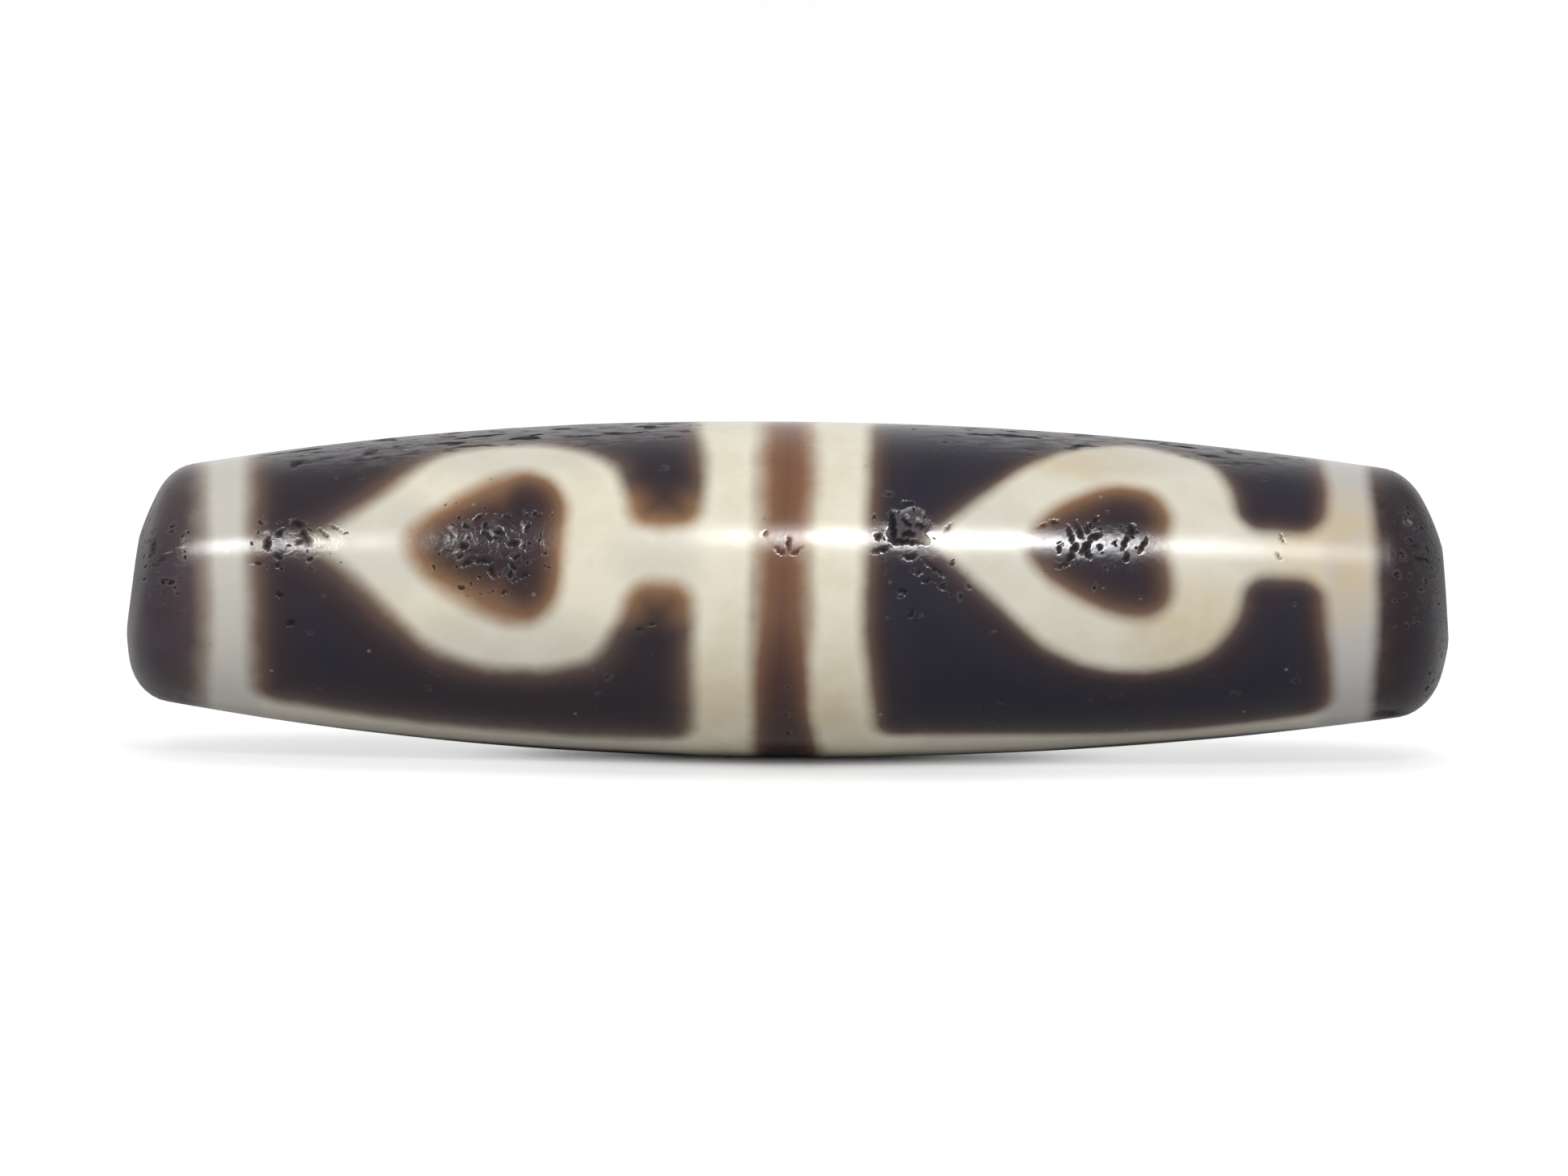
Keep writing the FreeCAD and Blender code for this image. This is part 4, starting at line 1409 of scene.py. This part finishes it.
        # Grey streaks and gashes where the dye is weathered; along the front's top edge the grey is partly
        # painted sheen of the mirrored room
        broad = wiring.mottle(place, self.weathering)
        weathered = wiring.math("MULTIPLY", wiring.attribute(Attribute.WEATHERED_AND_SHEEN), broad, clamp=True)
        etched = wiring.math("MULTIPLY", weathered, dyed)
        along_streaks = wiring.vector_math("MULTIPLY", flat, self.streak_stretch)
        streaks = wiring.noise(along_streaks, self.streaks)
        grey = wiring.math("MULTIPLY", wiring.step(streaks, self.grey_streaks), etched)
        colour = wiring.mix(grey, colour, self.polish.under(self.weathered_grey_and_sheen))
        gashes = wiring.math("MULTIPLY", wiring.mottle(along_streaks, self.gashes), etched)

        # Nicks darkened partly by dirt and partly by painted shade, pale chalky places with painted glints,
        # and the dusty bore
        gouged = wiring.math("MAXIMUM", gashes, marked)
        nick, rim = self.all_nicks(wiring, crumpled, gouged, nicked, dyed)
        specks = wiring.step(wiring.cells(flat, self.speck_scale)["Distance"], self.speck)
        specks = wiring.math("MULTIPLY", specks, dyed)
        # Pale rims, specks and glint marks: partly chalky stone and partly painted glints.
        pale = wiring.math("MAXIMUM", wiring.math("MAXIMUM", rim, crush_and_glint), specks)
        colour = wiring.mix(pale, colour, self.polish.under(self.crush_and_glint))
        grime_and_shade = self.polish.under(self.grime_and_shade)
        colour = wiring.mix(wiring.math("MULTIPLY", nick, self.grime_and_shade_share), colour, grime_and_shade)
        dust = wiring.mix(wiring.noise(place, self.dust), self.polish.under(self.bore_dust), grime_and_shade)
        colour = wiring.mix(bore, colour, dust)

        # The polish, worn unevenly and rougher in each kind of mark
        rough = wiring.math("ADD", wiring.mottle(place, self.worn), self.polish.roughness)
        for mark, more in (
            (nick, self.nick_rough), (dulled, self.dulled_rough), (chipped, self.chipped_rough),
            (weathered, self.weathered_rough), (bore, self.bore_rough),
        ):
            rough = wiring.math("MULTIPLY_ADD", mark, more, rough, clamp=True)

        # The fine relief
        crumbled = wiring.math("MAXIMUM", nicked, wiring.math("MULTIPLY", chipped, self.chipped_relief))
        crumbled = wiring.math("MULTIPLY", crumbled, wiring.noise(crumpled, self.field_grain))
        etching = wiring.math("MULTIPLY", streaks, weathered)
        normal = self.bump(wiring, place, crumbled, etching, nick)

        skin = {"Base Color": colour, "Roughness": rough, "IOR": self.polish.index, "Normal": normal}
        shader = wiring.add("ShaderNodeBsdfPrincipled", skin)
        wiring.add("ShaderNodeOutputMaterial", {"Surface": shader.outputs["BSDF"]})
        return material


@dataclass
class AgateBead:
    """The bead: the stone's shape, the dye in it and the wear on it, made into one piece."""

    stone: BeadStone = field(default_factory=BeadStone)
    wear: Wear = field(default_factory=Wear)
    name: str = "dyed_bead"
    clean_mouth: float = 0.1
    dusty: Ramp = Ramp(1.02, 1.5, before=1.0, after=0.0)

    def points(self, x: Array, rho: Array, turn: Array) -> Array:
        """The grid's points in space: each lies inside the clean surface by the wear's depth, along the
        normal, which is the cross product of the steps to the neighbours both ways.

        Args:
            x, rho, turn: the grid that the stone's surface gives.

        Returns:
            An array of rows and columns of points, in millimetres.
        """
        angle = np.radians(turn)
        clean = np.stack([x, -rho * np.cos(angle), rho * np.sin(angle)], axis=-1)
        along = np.roll(clean, -1, axis=0) - np.roll(clean, 1, axis=0)
        across = np.roll(clean, -1, axis=1) - np.roll(clean, 1, axis=1)
        normal = np.cross(along, across)
        normal /= np.linalg.norm(normal, axis=-1, keepdims=True)
        clean_to = self.stone.bore_diameter / 2 + self.clean_mouth
        outside = smooth_step(rho, clean_to, self.stone.seat_diameter / 2)
        sink = self.stone.slack + outside * self.wear.sink(x, turn, rho)
        return clean - normal * sink[..., None]

    def build(self) -> bpy.types.Object:
        """Makes the bead's mesh, its attributes and its material.

        Returns:
            The bead, at the origin, with its place in its mesh.
        """
        x, rho, turn = self.stone.surface()
        points = self.points(x, rho, turn)
        rows, columns = x.shape
        number = np.arange(rows * columns).reshape(rows, columns)
        below, beside = np.roll(number, -1, axis=0), np.roll(number, -1, axis=1)
        corner = np.roll(below, -1, axis=1)
        faces = np.stack([number, below, corner, beside], axis=-1).reshape(-1, 4)

        mesh = bpy.data.meshes.new(self.name)
        mesh.from_pydata((points.reshape(-1, 3) * MM).tolist(), [], faces.tolist())
        mesh.validate()
        mesh.shade_smooth()
        for attribute, values in self.attributes(x, rho, turn).items():
            layer = mesh.attributes.new(attribute.value, "FLOAT", "POINT")
            layer.data.foreach_set("value", np.ascontiguousarray(values, dtype=np.float32).ravel())
        unrolled = self.stone.unrolled(x, rho, turn)
        mesh.uv_layers.new(name=UNROLLED_MAP).data.foreach_set("uv", unrolled.astype(np.float32).ravel())
        mesh.materials.append(AgateFinish().build("dyed_agate_stone"))
        bead = bpy.data.objects.new(self.name, mesh)
        bpy.context.scene.collection.objects.link(bead)
        return bead

    def attributes(self, x: Array, rho: Array, turn: Array) -> dict[Attribute, Array]:
        """What the mesh tells its material.

        Args:
            x, rho, turn: the grid that the stone's surface gives.

        Returns:
            For each attribute, one value for each point.
        """
        pattern = DyePattern(self.stone)
        station = np.clip(x, -self.stone.left.reach, self.stone.right.reach)
        thin = pattern.thinness(station, turn)
        depth = pattern.dye_depth(station, turn)
        depth = depth + pattern.deep_edge_shift * (1.0 - thin)
        depth = np.where(depth > 0, depth * pattern.soak(station, turn), depth)
        radius = np.maximum(rho, self.stone.bore_diameter)
        return {
            Attribute.DYE_DEPTH: depth,
            Attribute.THINNESS: thin,
            Attribute.RUST: pattern.rust(station, turn),
            Attribute.WARMTH: pattern.warmth(station, turn),
            Attribute.ASHEN: pattern.ashen(station, turn),
            Attribute.DULLED: pattern.dulled(station),
            Attribute.MARKED: self.wear.marked(self.wear.dark_marks, x, turn),
            Attribute.CRUSH_AND_GLINT: self.wear.marked(self.wear.glint_marks, x, turn),
            Attribute.NICKED: cover_of(self.wear.nick_fields, station, turn, radius),
            Attribute.WEATHERED_AND_SHEEN: cover_of(self.wear.weathered_and_sheen_places, station, turn, radius),
            Attribute.CHIPPED: self.wear.chipped(station, turn, radius),
            Attribute.BORE: self.dusty.at(rho),
        }


@dataclass(frozen=True)
class Strip:
    """A bright strip of a light box, from one place to another along the bore, in millimetres. One that is
    only mirrored stands for the glow round a strip."""

    name: str
    start: float
    end: float
    radiance: float
    height: float = 54.0
    distance: float = 400.0
    only_mirrored: bool = False


@dataclass
class Studio:
    """White table, white room and the lamps and camera."""

    floor_reach: float = 1500.0
    room_light: float = 0.6
    far_wall: Ramp = Ramp(0.3, 0.8, after=0.26)
    far_wall_left: Ramp = Ramp(-0.5, -0.1)
    far_wall_right: Ramp = Ramp(0.05, 0.5, before=1.0, after=-1.2)
    paper_white: float = 0.8
    bounce_share: float = 0.84
    shadow_reach: float = 4.0
    shadow_samples: int = 8
    contact_lifts: tuple[Ramp, ...] = (Ramp(1.0, 8.0, after=0.11), Ramp(7.0, 15.0, after=0.2))
    contact: Ramp = Ramp(0.03, 0.32)
    glow_along: Ramp = Ramp(4.0, 14.0, before=1.0, after=1.16)
    open_glow: Ramp = Ramp(0.4, 1.0, after=0.3)
    glow_share: float = 0.6
    strip_elevation: float = 43.0
    strips: tuple[Strip, ...] = (
        Strip("left_strip", -156.0, -141.0, 26.0, height=84.0),
        Strip("left_strip_end", -141.0, -114.0, 9.5),
        Strip("left_halo", -164.0, -106.0, 3.0, height=130.0, distance=402.0, only_mirrored=True),
        Strip("right_strip", 5.0, 78.0, 30.0),
        Strip("right_strip_end", 78.0, 130.0, 4.6),
        Strip("right_halo", -11.0, 134.0, 3.4, height=130.0, distance=402.0, only_mirrored=True),
    )
    image_width: int = 1946
    image_height: int = 1460
    lens: float = 600.0
    sensor: float = 36.0
    view_width: float = 59.33
    view_elevation: float = 7.0
    middle_pixel: Point = (978.0, 731.5)
    tilt_share: float = 0.0078
    clip_start: float = 0.01
    clip_end: float = 10.0

    def build_room(self) -> None:
        """The room: white to the camera, and for all else a plain light that is stronger from the middle of
        the far wall and weaker from its right."""
        world = bpy.data.worlds.new("white_room")
        world.use_nodes = True
        bpy.context.scene.world = world
        wiring = Wiring(world.node_tree)
        seen = wiring.add("ShaderNodeLightPath").outputs["Is Camera Ray"]
        direction = wiring.add("ShaderNodeTexCoord").outputs["Generated"]
        ways = wiring.add("ShaderNodeSeparateXYZ", {0: direction}).outputs
        far_wall = wiring.step(ways["Y"], self.far_wall)
        left, right = wiring.step(ways["X"], self.far_wall_left), wiring.step(ways["X"], self.far_wall_right)
        share = wiring.math("MULTIPLY", right, left)
        light = wiring.math("MULTIPLY_ADD", far_wall, share, self.room_light)
        strength = wiring.math("MAXIMUM", light, seen)
        room = wiring.add("ShaderNodeBackground", {"Color": WHITE_LIGHT, "Strength": strength})
        wiring.add("ShaderNodeOutputWorld", {"Surface": room.outputs["Background"]})

    def build_paper(self) -> bpy.types.Material:
        """White paper, of which a share of the light reaches the bead. To the camera it glows a little as
        well, save right under the bead, so that it is white but keeps the bead's shadow.

        Returns:
            The material.
        """
        material = bpy.data.materials.new("white_paper")
        material.use_nodes = True
        wiring = Wiring(material.node_tree)
        rays = wiring.add("ShaderNodeLightPath").outputs
        to_camera = rays["Is Camera Ray"]
        bounced = self.paper_white * self.bounce_share
        white = wiring.step(to_camera, Ramp(0.0, 1.0, bounced, self.paper_white))
        grey = wiring.add("ShaderNodeCombineColor", {0: white, 1: white, 2: white}).outputs[0]
        paper = wiring.add("ShaderNodeBsdfDiffuse", {"Color": grey})
        reach_in = {"Distance": self.shadow_reach * MM}
        occlusion = wiring.add("ShaderNodeAmbientOcclusion", reach_in, samples=self.shadow_samples)
        open_sky = occlusion.outputs["AO"]
        place = wiring.add("ShaderNodeTexCoord").outputs["Object"]
        along = wiring.math("ABSOLUTE", wiring.add("ShaderNodeSeparateXYZ", {0: place}).outputs["X"])
        raised = open_sky
        for lift in self.contact_lifts:
            raised = wiring.math("ADD", raised, wiring.step(along, lift.scaled(MM)))
        near = wiring.step(raised, self.contact)
        near = wiring.math("MULTIPLY", near, wiring.step(along, self.glow_along.scaled(MM)))
        strength = wiring.math("ADD", near, wiring.step(open_sky, self.open_glow))
        glow = wiring.add("ShaderNodeEmission", {"Strength": strength})
        share = wiring.math("MULTIPLY", to_camera, self.glow_share)
        both = wiring.add("ShaderNodeMixShader", {0: share, 1: paper.outputs[0], 2: glow.outputs[0]})
        wiring.add("ShaderNodeOutputMaterial", {"Surface": both.outputs[0]})
        return material

    def build_floor(self, height: float) -> bpy.types.Object:
        """The table, a sheet of white paper.

        Args:
            height: its height in millimetres.

        Returns:
            The table, which is the scene's stage.
        """
        reach = self.floor_reach * MM
        corners = [(-reach, -reach, height * MM), (reach, -reach, height * MM)]
        corners += [(reach, reach, height * MM), (-reach, reach, height * MM)]
        mesh = bpy.data.meshes.new("table_top")
        mesh.from_pydata(corners, [], [(0, 1, 2, 3)])
        mesh.materials.append(self.build_paper())
        floor = bpy.data.objects.new("table_top", mesh)
        bpy.context.scene.collection.objects.link(floor)
        return floor

    def build_lamps(self) -> None:
        """The strips of the light box, in one plane that faces the bead from in front and above."""
        elevation = math.radians(self.strip_elevation)
        toward = Vector((0.0, -math.cos(elevation), math.sin(elevation)))
        for strip in self.strips:
            lamp = bpy.data.lights.new(strip.name, "AREA")
            lamp.shape = "RECTANGLE"
            lamp.size = (strip.end - strip.start) * MM
            lamp.size_y = strip.height * MM
            lamp.energy = strip.radiance * math.pi * lamp.size * lamp.size_y
            holder = bpy.data.objects.new(strip.name, lamp)
            middle = Vector(((strip.start + strip.end) / 2, 0.0, 0.0))
            holder.location = (toward * strip.distance + middle) * MM
            holder.rotation_euler = (math.radians(QUARTER_TURN) - elevation, 0.0, 0.0)
            holder.visible_diffuse = not strip.only_mirrored
            bpy.context.scene.collection.objects.link(holder)

    def build_camera(self) -> bpy.types.Object:
        """A long lens, a little above the table, that frames the bead as the photograph does.

        Returns:
            The camera, which is set as the scene's.
        """
        camera_data = bpy.data.cameras.new("camera")
        camera_data.lens = self.lens
        camera_data.sensor_width = self.sensor
        camera_data.clip_start = self.clip_start
        camera_data.clip_end = self.clip_end
        camera = bpy.data.objects.new("camera", camera_data)
        bpy.context.scene.collection.objects.link(camera)
        bpy.context.scene.camera = camera

        elevation = math.radians(self.view_elevation)
        forward = Vector((0.0, math.cos(elevation), -math.sin(elevation)))
        level_right = Vector((1.0, 0.0, 0.0))
        level_up = level_right.cross(forward)
        tilt = math.atan(self.tilt_share)
        right = level_right * math.cos(tilt) + level_up * math.sin(tilt)
        up = level_up * math.cos(tilt) - level_right * math.sin(tilt)
        pixel = self.view_width / self.image_width
        aim = right * (self.image_width / 2 - self.middle_pixel[0]) * pixel
        aim += up * (self.middle_pixel[1] - self.image_height / 2) * pixel
        distance = self.view_width * self.lens / self.sensor
        place = (aim - forward * distance) * MM
        turned = Matrix((right, up, -forward)).transposed().to_4x4()
        camera.matrix_world = Matrix.Translation(place) @ turned
        return camera


def main() -> None:
    """Builds the bead and the studio round it."""
    logging.basicConfig(level=logging.INFO, format="%(name)s: %(message)s")
    scene = bpy.context.scene
    scene.view_settings.view_transform = "Standard"

    bead = AgateBead().build()
    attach(bead, ROOT_BODY)
    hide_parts(BEAD_NODE)
    log.info("%s: %d faces", bead.name, len(bead.data.polygons))

    studio = Studio()
    studio.build_room()
    lowest = min(cad_bounds[0].z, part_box(BEAD_NODE)[0].z)
    floor = studio.build_floor(lowest / MM)
    studio.build_lamps()
    camera = studio.build_camera()
    log.info("%s and %s are in place", floor.name, camera.name)


if __name__ == "__main__":
    main()
